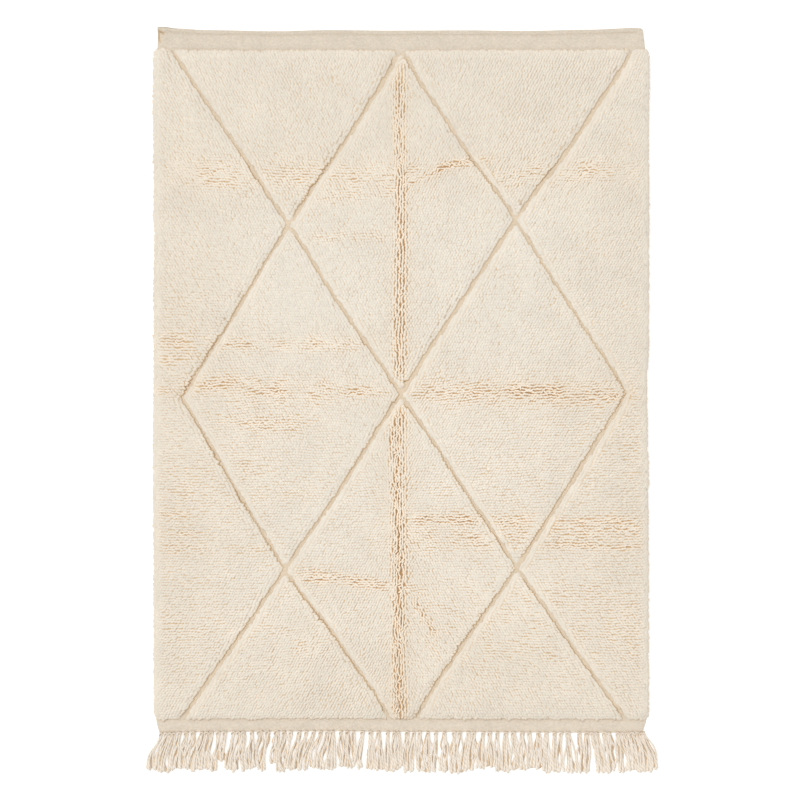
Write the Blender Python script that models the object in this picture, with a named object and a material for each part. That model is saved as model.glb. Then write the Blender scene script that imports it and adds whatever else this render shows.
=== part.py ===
"""A hand-knotted wool rug: a diamond lattice of bare ground lets ten fields of cream pile stand proud.

The cloth is one solid, with its flat-woven ends, its turned hem and its raised pile. The fringe at the
other end is a second solid: bundles of warp yarn that leave a narrow strip along the cloth's edge.
The rug lies flat. +X runs across its width, +Y along it towards the hem, +Z up. Metres throughout.
"""
import math
import random
from collections import namedtuple

import bmesh
import bpy
from mathutils import Vector, noise
from mathutils.geometry import delaunay_2d_cdt, intersect_line_line_2d, intersect_point_line

MM = 0.001

# ---- The cloth, measured from the middle of the rug -------------------------------------------------
HALF_WIDTH = 0.801        # middle to either side
HEM_EDGE = 1.200          # outer edge of the turned hem
PILE_TOP = 1.135          # where the pile begins below the hem band
PILE_LOW = -1.033         # where it stops above the fringe
FRINGE_EDGE = -1.079      # the cloth's edge at the fringe
GROUND = 0.004            # the flat-woven wool ground
HEM_FOLD = 0.013          # the hem is turned over this far from its edge
HEM_THICK = 0.0065        # so the cloth is thicker there
HEM_STEP = 0.003          # the slope from the hem down to the single cloth
HEM_CURL = 0.003          # its left corner curls up this much more

# ---- The pile ---------------------------------------------------------------------------------------
PILE = 0.020              # height of the pile's surface above the floor
SHOULDER = 0.0165         # height at which a field's rim turns down
LUMP = 0.0022             # how uneven its surface is
LUMP_SIZE = 0.11          # and over what distance
CREASE_WIDTH = 0.016      # half the width of a parting in the pile

# A field's rim: how far its foot and its shoulder stand in from each kind of side.
Rim = namedtuple("Rim", "foot shoulder")
RIMS = {
    "groove": Rim(0.008, 0.0125),
    "selvedge": Rim(0.003, 0.009),
    "end": Rim(0.0, 0.006),
}

# ---- Spacing of the points of the net ---------------------------------------------------------------
EDGE_STEP = 0.055
FIELD_STEP = 0.062
FIELD_CLEAR = 0.024       # a free point keeps this far from a rim
CREASE_STEP = 0.045
CREASE_CLEAR = 0.012

# ---- The fringe -------------------------------------------------------------------------------------
STRIP_GAP = 0.0003        # between the cloth's edge and the strip that holds the yarns
STRIP_DEPTH = 0.005
YARN_HEIGHT = 0.0045
YARN_WIDTH = 0.0062       # a yarn is as wide as its neighbours leave it, up to this
YARN_GAP = 0.0006         # the least room between two yarns
YARN_PITCH = 0.0050       # the least distance between their middles
SPREAD_ROUNDS = 80        # times that roots which stand too close push each other apart
YARN_STEPS = (0.0, 0.38, 0.72, 1.0)   # sections along a yarn
YARN_TAPER = (1.0, 1.0, 1.0, 0.7)     # and how thick it is at each

# Crossings of the lattice, as the weaver placed them: no two diamonds are quite alike.
CORNER_TL = (-0.751, 1.135)
CORNER_TC = (-0.001, 1.138)
CORNER_TR = (0.745, 1.135)
CROSS_UPPER_L = (-0.369, 0.580)
CROSS_UPPER_R = (0.366, 0.577)
TIP_L = (-0.709, 0.023)
CENTRE = (0.000, 0.036)
TIP_R = (0.729, 0.019)
CROSS_LOWER_L = (-0.376, -0.547)
CROSS_LOWER_R = (0.379, -0.541)
CORNER_BL = (-0.722, PILE_LOW)
CORNER_BCL = (-0.045, PILE_LOW)
CORNER_BCR = (0.039, PILE_LOW)
CORNER_BR = (0.729, PILE_LOW)
SIDE_TL = (-HALF_WIDTH, PILE_TOP)
SIDE_BL = (-HALF_WIDTH, PILE_LOW)
SIDE_TR = (HALF_WIDTH, PILE_TOP)
SIDE_BR = (HALF_WIDTH, PILE_LOW)

# The ten fields of pile. Each side is the corner it starts from and what it runs along, anticlockwise.
FIELDS = {
    "left_margin": (
        (SIDE_TL, "selvedge"), (SIDE_BL, "end"), (CORNER_BL, "groove"), (CROSS_LOWER_L, "groove"),
        (TIP_L, "groove"), (CROSS_UPPER_L, "groove"), (CORNER_TL, "end"),
    ),
    "right_margin": (
        (SIDE_BR, "selvedge"), (SIDE_TR, "end"), (CORNER_TR, "groove"), (CROSS_UPPER_R, "groove"),
        (TIP_R, "groove"), (CROSS_LOWER_R, "groove"), (CORNER_BR, "end"),
    ),
    "upper_left_triangle": (
        (CORNER_TL, "groove"), (CROSS_UPPER_L, "groove"), (CORNER_TC, "end"),
    ),
    "upper_right_triangle": (
        (CORNER_TC, "groove"), (CROSS_UPPER_R, "groove"), (CORNER_TR, "end"),
    ),
    "upper_diamond": (
        (CORNER_TC, "groove"), (CROSS_UPPER_L, "groove"), (CENTRE, "groove"), (CROSS_UPPER_R, "groove"),
    ),
    "left_diamond": (
        (CROSS_UPPER_L, "groove"), (TIP_L, "groove"), (CROSS_LOWER_L, "groove"), (CENTRE, "groove"),
    ),
    "right_diamond": (
        (CROSS_UPPER_R, "groove"), (CENTRE, "groove"), (CROSS_LOWER_R, "groove"), (TIP_R, "groove"),
    ),
    "lower_diamond": (
        (CENTRE, "groove"), (CROSS_LOWER_L, "groove"), (CORNER_BCL, "end"), (CORNER_BCR, "groove"),
        (CROSS_LOWER_R, "groove"),
    ),
    "lower_left_triangle": (
        (CROSS_LOWER_L, "groove"), (CORNER_BL, "end"), (CORNER_BCL, "groove"),
    ),
    "lower_right_triangle": (
        (CROSS_LOWER_R, "groove"), (CORNER_BCR, "end"), (CORNER_BR, "groove"),
    ),
}

# Partings that folding left in the pile: how deep, and the line each follows.
Crease = namedtuple("Crease", "depth line")
CREASES = (
    Crease(0.0055, ((0.000, 1.095), (-0.006, 0.91), (0.000, 0.65), (0.006, 0.32), (-0.003, 0.10))),
    Crease(0.0055, ((0.003, -0.02), (-0.006, -0.26), (-0.013, -0.52), (0.000, -0.78), (0.003, -1.01))),
    Crease(0.0045, ((0.013, 0.664), (0.078, 0.719), (0.142, 0.751), (0.198, 0.768))),
    Crease(0.0035, ((-0.764, 0.168), (-0.457, 0.155), (-0.052, 0.168))),
    Crease(0.0035, ((-0.764, 0.032), (-0.392, 0.045), (-0.052, 0.026))),
    Crease(0.0045, ((0.045, 0.049), (0.385, 0.026), (0.774, 0.006))),
    Crease(0.0045, ((0.045, -0.389), (0.385, -0.382), (0.774, -0.395))),
    Crease(0.0045, ((-0.327, -0.599), (-0.181, -0.583), (-0.019, -0.609))),
)

# How far each side of the cloth strays inwards (+) from a straight line, going down the rug.
SideDrift = namedtuple("SideDrift", "y left right")
SIDE_DRIFT = (
    SideDrift(1.200, 0.011, 0.015),
    SideDrift(1.140, 0.010, 0.008),
    SideDrift(1.114, 0.000, 0.001),
    SideDrift(0.907, 0.000, -0.002),
    SideDrift(0.680, 0.003, 0.000),
    SideDrift(0.518, -0.004, 0.000),
    SideDrift(0.227, 0.002, -0.001),
    SideDrift(0.032, 0.001, 0.007),
    SideDrift(-0.130, 0.000, 0.004),
    SideDrift(-0.324, 0.000, -0.002),
    SideDrift(-0.600, 0.002, -0.001),
    SideDrift(-0.970, 0.002, -0.001),
    SideDrift(-1.033, 0.005, 0.002),
    SideDrift(-1.079, 0.016, 0.017),
)

# How far the hem's edge and the fringe's edge stray towards the hem (+), going across the rug.
EndDrift = namedtuple("EndDrift", "x hem fringe")
END_DRIFT = (
    EndDrift(-0.801, 0.009, -0.003),
    EndDrift(-0.775, 0.010, -0.003),
    EndDrift(-0.735, 0.006, -0.001),
    EndDrift(-0.650, 0.001, 0.000),
    EndDrift(-0.408, -0.003, 0.002),
    EndDrift(-0.230, 0.001, 0.003),
    EndDrift(-0.050, -0.001, 0.001),
    EndDrift(0.200, 0.000, 0.000),
    EndDrift(0.400, -0.002, -0.001),
    EndDrift(0.600, 0.002, -0.002),
    EndDrift(0.765, 0.008, -0.002),
    EndDrift(0.801, 0.006, 0.000),
)

# The fringe's bundles from left to right, in millimetres. root and wide: the middle and the width of a
# bundle at the cloth. left and right: how far along the rug its outer yarns end. reach: how far its
# tips lie from the cloth's edge.
Bundle = namedtuple("Bundle", "root wide left right reach")
BUNDLES = (
    Bundle(-777, 11, -824, -805, 119), Bundle(-761, 12, -804, -787, 121), Bundle(-748, 11, -785, -770, 128),
    Bundle(-735, 11, -768, -752, 128), Bundle(-717, 13, -748, -733, 122), Bundle(-696, 15, -728, -709, 119),
    Bundle(-673, 18, -706, -693, 119), Bundle(-645, 13, -688, -662, 125), Bundle(-629, 14, -659, -640, 121),
    Bundle(-614, 14, -638, -621, 121), Bundle(-592, 16, -616, -600, 129), Bundle(-571, 16, -595, -577, 94),
    Bundle(-543, 14, -567, -555, 121), Bundle(-526, 13, -553, -538, 128), Bundle(-511, 13, -535, -503, 127),
    Bundle(-484, 12, -499, -482, 119), Bundle(-457, 21, -476, -459, 119), Bundle(-432, 20, -457, -444, 128),
    Bundle(-403, 18, -421, -403, 102), Bundle(-379, 12, -400, -381, 131), Bundle(-358, 13, -379, -367, 122),
    Bundle(-330, 15, -365, -346, 125), Bundle(-307, 13, -345, -325, 126), Bundle(-283, 14, -322, -305, 126),
    Bundle(-260, 16, -303, -273, 118), Bundle(-239, 15, -267, -249, 124), Bundle(-222, 14, -240, -217, 124),
    Bundle(-195, 13, -203, -187, 115), Bundle(-174, 13, -179, -160, 118), Bundle(-154, 11, -156, -147, 100),
    Bundle(-125, 15, -144, -131, 120), Bundle(-98, 15, -108, -89, 123), Bundle(-73, 14, -86, -57, 125),
    Bundle(-43, 12, -51, -35, 130), Bundle(-21, 13, -33, -14, 128), Bundle(-8, 10, -12, -1, 117),
    Bundle(20, 17, 4, 19, 131), Bundle(42, 12, 21, 41, 128), Bundle(61, 13, 51, 70, 126),
    Bundle(87, 13, 76, 95, 132), Bundle(113, 14, 97, 118, 129), Bundle(140, 13, 128, 156, 129),
    Bundle(172, 17, 159, 175, 132), Bundle(191, 15, 177, 192, 134), Bundle(219, 14, 194, 217, 124),
    Bundle(237, 13, 220, 241, 122), Bundle(266, 15, 252, 272, 118), Bundle(287, 14, 275, 306, 113),
    Bundle(312, 12, 308, 325, 127), Bundle(340, 15, 327, 354, 129), Bundle(364, 15, 357, 377, 122),
    Bundle(393, 15, 380, 408, 123), Bundle(416, 13, 412, 430, 116), Bundle(445, 13, 434, 456, 119),
    Bundle(471, 13, 463, 482, 130), Bundle(498, 13, 490, 503, 126), Bundle(519, 15, 505, 515, 130),
    Bundle(541, 18, 530, 571, 132), Bundle(578, 15, 580, 593, 130), Bundle(602, 16, 595, 610, 130),
    Bundle(620, 12, 635, 648, 129), Bundle(636, 12, 650, 662, 129), Bundle(660, 18, 664, 685, 130),
    Bundle(677, 7, 688, 696, 116), Bundle(703, 16, 704, 729, 129), Bundle(719, 10, 735, 749, 123),
    Bundle(734, 14, 751, 766, 124), Bundle(749, 14, 768, 782, 129), Bundle(765, 14, 784, 799, 129),
    Bundle(778, 9, 801, 815, 130), Bundle(787, 6, 818, 832, 119),
)


def eased(table, key, column, at):
    """A column of a table of named rows, read between two rows with a soft turn at each."""
    rows = sorted(table, key=lambda row: getattr(row, key))
    if at <= getattr(rows[0], key):
        return getattr(rows[0], column)
    for low, high in zip(rows, rows[1:]):
        start, end = getattr(low, key), getattr(high, key)
        if at <= end:
            along = (at - start) / (end - start)
            along = along * along * (3 - 2 * along)
            return getattr(low, column) * (1 - along) + getattr(high, column) * along
    return getattr(rows[-1], column)


def hand_woven(x, y):
    """Moves a point of the ruled layout to where it lies on the real, slightly crooked cloth."""
    side = "left" if x < 0 else "right"
    to_side = min(abs(x) / HALF_WIDTH, 1.0) ** 4
    inwards = eased(SIDE_DRIFT, "y", side, y) * to_side
    end, edge = ("hem", HEM_EDGE) if y > 0 else ("fringe", -FRINGE_EDGE)
    to_end = min(abs(y) / edge, 1.0) ** 6
    along = eased(END_DRIFT, "x", end, x) * to_end
    wobble = 0.0025 * (1 - to_side) * (1 - to_end)
    place = Vector((x * 5.0, y * 5.0, 0.0))
    return (
        x - math.copysign(inwards, x) + wobble * noise.noise(place),
        y + along + wobble * noise.noise(place + Vector((0.0, 0.0, 9.0))),
    )


def stepped(start, end, step):
    """Points from start up to, but not including, end, about a step apart."""
    start, end = Vector(start), Vector(end)
    count = max(1, round((end - start).length / step))
    return [start.lerp(end, i / count) for i in range(count)]


def inset(sides, distance):
    """The corners of a field moved in, by a distance that depends on what each side runs along."""
    count = len(sides)
    lines = []
    for i, (corner, kind) in enumerate(sides):
        start, end = Vector(corner), Vector(sides[(i + 1) % count][0])
        along = (end - start).normalized()
        inwards = Vector((-along.y, along.x)) * distance(RIMS[kind])
        reach = along * 2
        lines.append((start + inwards - reach, end + inwards + reach))
    corners = []
    for i in range(count):
        (a, b), (c, d) = lines[i - 1], lines[i]
        corners.append(intersect_line_line_2d(a, b, c, d))
    return corners


def inside(loop, point):
    """Whether a point lies inside a closed loop."""
    within = False
    for a, b in zip(loop, loop[1:] + loop[:1]):
        if (a.y > point.y) != (b.y > point.y):
            if point.x < a.x + (b.x - a.x) * (point.y - a.y) / (b.y - a.y):
                within = not within
    return within


def distance_to(line, point):
    """The distance from a point to the nearest place on a line of points."""
    best = 1.0
    for a, b in zip(line, line[1:]):
        foot, share = intersect_point_line(point, a, b)
        if share < 0:
            foot = a
        elif share > 1:
            foot = b
        best = min(best, (Vector(foot[:2]) - point).length)
    return best


CREASE_LINES = [(crease.depth, [Vector(p) for p in crease.line]) for crease in CREASES]


def pile_height(point):
    """Height of the pile's surface: lumpy, and lower along a parting."""
    place = Vector((point.x, point.y, 0.0)) / LUMP_SIZE
    height = PILE + LUMP * noise.noise(place) + 0.5 * LUMP * noise.noise(place * 2.3)
    for depth, line in CREASE_LINES:
        away = distance_to(line, point) / CREASE_WIDTH
        height -= depth * math.exp(-away * away)
    return height


def crease_points(rim):
    """Points along the partings that cross a field, with one row down the middle and one each side."""
    points = []
    for _, line in CREASE_LINES:
        for start, end in zip(line, line[1:]):
            across = (end - start).normalized().orthogonal() * CREASE_WIDTH * 1.3
            for middle in stepped(start, end, CREASE_STEP):
                points += [middle, middle + across, middle - across]
    closed = rim + rim[:1]
    return [p for p in points if inside(rim, p) and distance_to(closed, p) > CREASE_CLEAR]


def field_points(rim, taken, draw):
    """Free points inside a field, on a loose triangular grid, clear of its rim and of its partings."""
    closed = rim + rim[:1]
    low = Vector((min(p.x for p in rim), min(p.y for p in rim)))
    high = Vector((max(p.x for p in rim), max(p.y for p in rim)))
    row_step = FIELD_STEP * math.sqrt(3) / 2
    points = []
    for row in range(int((high.y - low.y) / row_step) + 1):
        for column in range(int((high.x - low.x) / FIELD_STEP) + 2):
            shift = 0.5 * (row % 2)
            stray = Vector((draw.uniform(-1, 1), draw.uniform(-1, 1))) * FIELD_STEP * 0.14
            point = low + Vector(((column - shift) * FIELD_STEP, (row + 0.5) * row_step)) + stray
            if not inside(rim, point) or distance_to(closed, point) < FIELD_CLEAR:
                continue
            if all((point - other).length > FIELD_STEP * 0.42 for other in taken):
                points.append(point)
    return points


class Net:
    """Points on the plan of the cloth, each with its height, and the lines the net has to follow."""

    def __init__(self):
        self.places = []
        self.heights = []
        self.lines = []

    def add(self, points, height, closed=False, joined=False):
        first = len(self.places)
        for point in points:
            self.places.append(Vector(point))
            self.heights.append(height(point) if callable(height) else height)
        last = len(self.places)
        if joined or closed:
            self.lines += [(i, i + 1) for i in range(first, last - 1)]
        if closed:
            self.lines.append((last - 1, first))

    def triangles(self):
        places, _, faces, sources, _, _ = delaunay_2d_cdt(self.places, self.lines, [], 1, 1e-6)
        heights = [self.heights[source[0]] for source in sources]
        return places, heights, faces


def cloth_outline():
    """The ruled outline of the cloth, anticlockwise from the left end of the fringe's edge."""
    corners = (
        (-HALF_WIDTH, FRINGE_EDGE), (HALF_WIDTH, FRINGE_EDGE),
        (HALF_WIDTH, HEM_EDGE), (-HALF_WIDTH, HEM_EDGE),
    )
    points = []
    for start, end in zip(corners, corners[1:] + corners[:1]):
        points += stepped(start, end, EDGE_STEP)
    return points


def outline_height(point):
    if point.y < HEM_EDGE - HEM_FOLD:
        return GROUND
    at_left_corner = point.x < EDGE_STEP - HALF_WIDTH
    return HEM_THICK + HEM_CURL * at_left_corner


def cloth_net():
    net = Net()
    net.add(cloth_outline(), outline_height, closed=True)
    across = HALF_WIDTH - 0.01
    for y, height in ((HEM_EDGE - HEM_FOLD, HEM_THICK), (HEM_EDGE - HEM_FOLD - HEM_STEP, GROUND)):
        fold = stepped((-across, y), (across, y), EDGE_STEP) + [Vector((across, y))]
        net.add(fold, height, joined=True)
    draw = random.Random(7)
    for sides in FIELDS.values():
        rims = {}
        for part, height in (("foot", GROUND), ("shoulder", SHOULDER)):
            corners = inset(sides, lambda rim: getattr(rim, part))
            rims[part] = []
            for start, end in zip(corners, corners[1:] + corners[:1]):
                rims[part] += stepped(start, end, EDGE_STEP)
            net.add(rims[part], height, closed=True)
        partings = crease_points(rims["shoulder"])
        net.add(partings, pile_height)
        net.add(field_points(rims["shoulder"], partings, draw), pile_height)
    return net


def new_object(name, mesh_maker, material):
    """One closed piece, with its faces turned outwards, its mesh made by mesh_maker."""
    bm = bmesh.new()
    mesh_maker(bm)
    bmesh.ops.recalc_face_normals(bm, faces=bm.faces)
    mesh = bpy.data.meshes.new(name)
    bm.to_mesh(mesh)
    bm.free()
    mesh.materials.append(material)
    piece = bpy.data.objects.new(name, mesh)
    bpy.context.collection.objects.link(piece)
    return piece


def make_rug(bm):
    """The net raised to its heights, with a skirt down to the floor and a flat underside."""
    places, heights, faces = cloth_net().triangles()
    top = []
    for place, height in zip(places, heights):
        x, y = hand_woven(place.x, place.y)
        top.append(bm.verts.new((x, y, height)))
    for face in faces:
        bm.faces.new([top[i] for i in face])
    rim = [edge for edge in bm.edges if edge.is_boundary]
    skirt = bmesh.ops.extrude_edge_only(bm, edges=rim)["geom"]
    for vert in (item for item in skirt if isinstance(item, bmesh.types.BMVert)):
        vert.co.z = 0.0
    low_rim = [edge for edge in bm.edges if edge.is_boundary]
    bmesh.ops.holes_fill(bm, edges=low_rim, sides=0)


def yarns_of(bundle):
    """The middles of a bundle's yarns at the root and at the tip, and the width each may have."""
    tip_width = (bundle.right - bundle.left) * MM
    count = max(1, min(4, int(min(bundle.wide * MM, tip_width) / YARN_PITCH + 0.35)))
    yarns = []
    for i in range(count):
        share = (i + 0.5) / count
        root = (bundle.root + (share - 0.5) * bundle.wide) * MM
        tip = bundle.left * MM + share * tip_width
        yarns.append((root, tip, bundle.reach * MM))
    return yarns


def spread_roots(yarns, left, right):
    """Moves the yarns' roots apart where they stand too close, and in from the ends of the cloth."""
    roots = [root for root, _, _ in yarns]
    for _ in range(SPREAD_ROUNDS):
        roots[0] = max(roots[0], left + YARN_PITCH / 2)
        roots[-1] = min(roots[-1], right - YARN_PITCH / 2)
        for i in range(len(roots) - 1):
            short = YARN_PITCH - (roots[i + 1] - roots[i])
            if short > 0:
                roots[i] -= short / 2
                roots[i + 1] += short / 2
    return [(root, tip, reach) for root, (_, tip, reach) in zip(roots, yarns)]


def half_widths(middles):
    """Half the width of each yarn, so that it keeps clear of both of its neighbours."""
    halves = []
    for i, middle in enumerate(middles):
        room = [abs(other - middle) for other in middles[max(i - 1, 0):i] + middles[i + 1:i + 2]]
        halves.append(min(min(room) - YARN_GAP, YARN_WIDTH) / 2)
    return halves


def fringe_edge():
    """The cloth's own edge at the fringe, as the straight runs between the points of its outline."""
    start, end = (-HALF_WIDTH, FRINGE_EDGE), (HALF_WIDTH, FRINGE_EDGE)
    ruled = stepped(start, end, EDGE_STEP) + [Vector(end)]
    return [Vector(hand_woven(p.x, p.y)) for p in ruled]


def on_line(line, x):
    """How far along the rug a line that crosses it lies at x; past its ends it runs on level."""
    if x <= line[0].x:
        return line[0].y
    for a, b in zip(line, line[1:]):
        if x <= b.x:
            return a.y + (b.y - a.y) * (x - a.x) / (b.x - a.x)
    return line[-1].y


def make_fringe(bm):
    """A strip along the cloth's edge, cut into cells, from whose front the yarns are drawn out."""
    edge = fringe_edge()
    yarns = [yarn for bundle in BUNDLES for yarn in yarns_of(bundle)]
    yarns = spread_roots(yarns, edge[0].x, edge[-1].x)
    root_halves = half_widths([root for root, _, _ in yarns])
    tip_halves = half_widths([tip for _, tip, _ in yarns])
    cells = [edge[0].x]
    for (root, _, _), half in zip(yarns, root_halves):
        cells += [root - half, root + half]
    cells.append(edge[-1].x)

    def section(x, out, height, narrow=0.0):
        """The low and high corner of one side of a cell or a yarn, a distance out from the cloth."""
        y = on_line(edge, x) - out
        return bm.verts.new((x, y, 0.0)), bm.verts.new((x + narrow, y, height))

    back, front = STRIP_GAP, STRIP_GAP + STRIP_DEPTH
    walls = [(section(x, back, GROUND), section(x, front, GROUND)) for x in cells]
    for cell, (left, right) in enumerate(zip(walls, walls[1:])):
        (back_low, back_high), (front_low, front_high) = left
        (next_back_low, next_back_high), (next_front_low, next_front_high) = right
        bm.faces.new((back_high, front_high, next_front_high, next_back_high))
        bm.faces.new((back_low, next_back_low, next_front_low, front_low))
        bm.faces.new((back_low, back_high, next_back_high, next_back_low))
        is_yarn = cell % 2 == 1
        if not is_yarn:
            bm.faces.new((front_low, next_front_low, next_front_high, front_high))
            continue
        yarn = cell // 2
        root, tip, reach = yarns[yarn]
        low_left, high_left, low_right, high_right = front_low, front_high, next_front_low, next_front_high
        for share, taper in zip(YARN_STEPS[1:], YARN_TAPER[1:]):
            swing = share * share * (3 - 2 * share) * 0.5 + share * 0.5
            middle = root + (tip - root) * swing
            out = front + (reach - front) * share
            wide = (root_halves[yarn] * (1 - swing) + tip_halves[yarn] * swing) * taper
            slope = wide * 0.3
            new_left = section(middle - wide, out, YARN_HEIGHT * taper, slope)
            new_right = section(middle + wide, out, YARN_HEIGHT * taper, -slope)
            bm.faces.new((high_left, low_left, new_left[0], new_left[1]))
            bm.faces.new((low_right, high_right, new_right[1], new_right[0]))
            bm.faces.new((high_right, high_left, new_left[1], new_right[1]))
            bm.faces.new((low_left, low_right, new_right[0], new_left[0]))
            low_left, high_left = new_left
            low_right, high_right = new_right
        bm.faces.new((low_left, low_right, high_right, high_left))
    for wall in (walls[0], walls[-1]):
        (back_low, back_high), (front_low, front_high) = wall
        bm.faces.new((back_low, front_low, front_high, back_high))


def wool(name, colour, roughness):
    """A plain wool finish."""
    material = bpy.data.materials.new(name)
    material.use_nodes = True
    shader = material.node_tree.nodes["Principled BSDF"]
    shader.inputs["Base Color"].default_value = (*colour, 1.0)
    shader.inputs["Roughness"].default_value = roughness
    shader.inputs["Metallic"].default_value = 0.0
    return material


def centre_over_origin(pieces):
    """Slides the pieces so that the middle of their joint plan stands over the origin."""
    corners = [vert.co for piece in pieces for vert in piece.data.vertices]
    middle_x = (min(c.x for c in corners) + max(c.x for c in corners)) / 2
    middle_y = (min(c.y for c in corners) + max(c.y for c in corners)) / 2
    for piece in pieces:
        for vert in piece.data.vertices:
            vert.co.x -= middle_x
            vert.co.y -= middle_y


def main():
    for piece in list(bpy.data.objects):
        bpy.data.objects.remove(piece, do_unlink=True)
    pile_wool = wool("pile_wool", (0.80, 0.73, 0.62), 0.95)
    warp_wool = wool("warp_wool", (0.76, 0.67, 0.56), 0.9)
    rug = new_object("rug", make_rug, pile_wool)
    rug.data.shade_smooth()
    rug.data.set_sharp_from_angle(angle=math.radians(35))
    fringe = new_object("fringe", make_fringe, warp_wool)
    centre_over_origin((rug, fringe))


main()
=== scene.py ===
# %% [markdown]
# # A hand-knotted wool rug
# This notebook dresses the plain model of a cream wool rug. On the real rug a weaver ties tens of thousands
# of short wool tufts to a flat-woven ground, and leaves the ground bare along a lattice of diamonds. One end
# is turned over and stitched, and at the other the warp yarns hang out as a fringe.
# The plain model fixes every size. It is loaded first, and its box places the drawing.

# %% Load the plain model
import math
from collections import namedtuple

import bmesh
import bpy
import numpy as np
from mathutils import Matrix, Vector, noise
from mathutils.geometry import intersect_line_line_2d


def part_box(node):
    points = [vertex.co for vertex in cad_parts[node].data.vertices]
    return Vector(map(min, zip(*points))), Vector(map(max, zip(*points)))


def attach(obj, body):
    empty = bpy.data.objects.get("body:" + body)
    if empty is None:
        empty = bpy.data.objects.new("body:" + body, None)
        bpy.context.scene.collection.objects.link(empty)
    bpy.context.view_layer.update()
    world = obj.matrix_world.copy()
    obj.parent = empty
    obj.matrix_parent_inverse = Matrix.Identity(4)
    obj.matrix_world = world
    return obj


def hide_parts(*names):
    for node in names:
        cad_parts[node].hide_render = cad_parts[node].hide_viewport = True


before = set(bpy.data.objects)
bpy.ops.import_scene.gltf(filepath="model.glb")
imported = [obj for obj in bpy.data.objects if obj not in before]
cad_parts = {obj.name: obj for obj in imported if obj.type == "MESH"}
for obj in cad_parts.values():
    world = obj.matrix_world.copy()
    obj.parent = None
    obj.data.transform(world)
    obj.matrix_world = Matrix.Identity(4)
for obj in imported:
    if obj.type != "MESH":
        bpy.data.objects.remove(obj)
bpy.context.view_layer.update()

# %% [markdown]
# ## The weaver's layout
# Everything on the rug follows one drawing: the outline of the cloth, the crossings of the lattice and the
# ten fields of pile between them. The numbers are the plain model's own, in metres from the middle of the
# rug, +X to the right and +Y towards the hem. A straight drawing would look machine made, so a second step
# moves each point to where it lies on the real cloth, whose sides and ends wander by a few millimetres.

# %% Sizes of the cloth
MM = 0.001
HALF_WIDTH = 0.801  # middle to either side
HEM_EDGE = 1.200  # outer edge of the turned hem
PILE_TOP = 1.135  # where the pile begins below the hem band
PILE_LOW = -1.033  # where it stops above the fringe
FRINGE_EDGE = -1.079  # the cloth's edge at the fringe
GROUND = 0.004  # thickness of the flat-woven ground
HEM_FOLD = 0.013  # the hem is turned over this far from its edge
HEM_THICK = 0.0065  # so the cloth is thicker there
PILE = 0.020  # height of the pile's surface above the floor
EDGE_STEP = 0.055  # the plain model's own spacing of points along the outline
print("cloth", 2 * HALF_WIDTH, "by", HEM_EDGE - FRINGE_EDGE, "m")

# %% Crossings of the lattice and the ten fields of pile
CORNER_TL, CORNER_TC, CORNER_TR = (-0.751, 1.135), (-0.001, 1.138), (0.745, 1.135)
CROSS_UPPER_L, CROSS_UPPER_R = (-0.369, 0.580), (0.366, 0.577)
TIP_L, CENTRE, TIP_R = (-0.709, 0.023), (0.000, 0.036), (0.729, 0.019)
CROSS_LOWER_L, CROSS_LOWER_R = (-0.376, -0.547), (0.379, -0.541)
CORNER_BL, CORNER_BCL = (-0.722, PILE_LOW), (-0.045, PILE_LOW)
CORNER_BCR, CORNER_BR = (0.039, PILE_LOW), (0.729, PILE_LOW)
SIDE_TL, SIDE_BL = (-HALF_WIDTH, PILE_TOP), (-HALF_WIDTH, PILE_LOW)
SIDE_TR, SIDE_BR = (HALF_WIDTH, PILE_TOP), (HALF_WIDTH, PILE_LOW)

# Each field's corners, anticlockwise.
FIELDS = {
    "left_margin": (SIDE_TL, SIDE_BL, CORNER_BL, CROSS_LOWER_L, TIP_L, CROSS_UPPER_L, CORNER_TL),
    "right_margin": (SIDE_BR, SIDE_TR, CORNER_TR, CROSS_UPPER_R, TIP_R, CROSS_LOWER_R, CORNER_BR),
    "upper_left_triangle": (CORNER_TL, CROSS_UPPER_L, CORNER_TC),
    "upper_right_triangle": (CORNER_TC, CROSS_UPPER_R, CORNER_TR),
    "upper_diamond": (CORNER_TC, CROSS_UPPER_L, CENTRE, CROSS_UPPER_R),
    "left_diamond": (CROSS_UPPER_L, TIP_L, CROSS_LOWER_L, CENTRE),
    "right_diamond": (CROSS_UPPER_R, CENTRE, CROSS_LOWER_R, TIP_R),
    "lower_diamond": (CENTRE, CROSS_LOWER_L, CORNER_BCL, CORNER_BCR, CROSS_LOWER_R),
    "lower_left_triangle": (CROSS_LOWER_L, CORNER_BL, CORNER_BCL),
    "lower_right_triangle": (CROSS_LOWER_R, CORNER_BCR, CORNER_BR),
}
print(len(FIELDS), "fields of pile")

# %% How the woven cloth strays from the drawing
def table(name, columns, *rows):
    """Rows of numbers whose columns have names."""
    row_kind = namedtuple(name, columns)
    return [row_kind(*row) for row in rows]


# The two sides, going down the rug: how far each lies inwards (+). All three tables are in millimetres.
SIDE_DRIFT = table(
    "SideDrift", "y left right",
    (1200, 11, 15), (1140, 10, 8), (1114, 0, 1), (907, 0, -2), (680, 3, 0), (518, -4, 0), (227, 2, -1),
    (32, 1, 7), (-130, 0, 4), (-324, 0, -2), (-600, 2, -1), (-970, 2, -1), (-1033, 5, 2), (-1079, 16, 17),
)
# The two ends, going across the rug: how far each lies towards the hem (+).
END_DRIFT = table(
    "EndDrift", "x hem fringe",
    (-801, 9, -3), (-775, 10, -3), (-735, 6, -1), (-650, 1, 0), (-408, -3, 2), (-230, 1, 3), (-50, -1, 1),
    (200, 0, 0), (400, -2, -1), (600, 2, -2), (765, 8, -2), (801, 6, 0),
)
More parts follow.
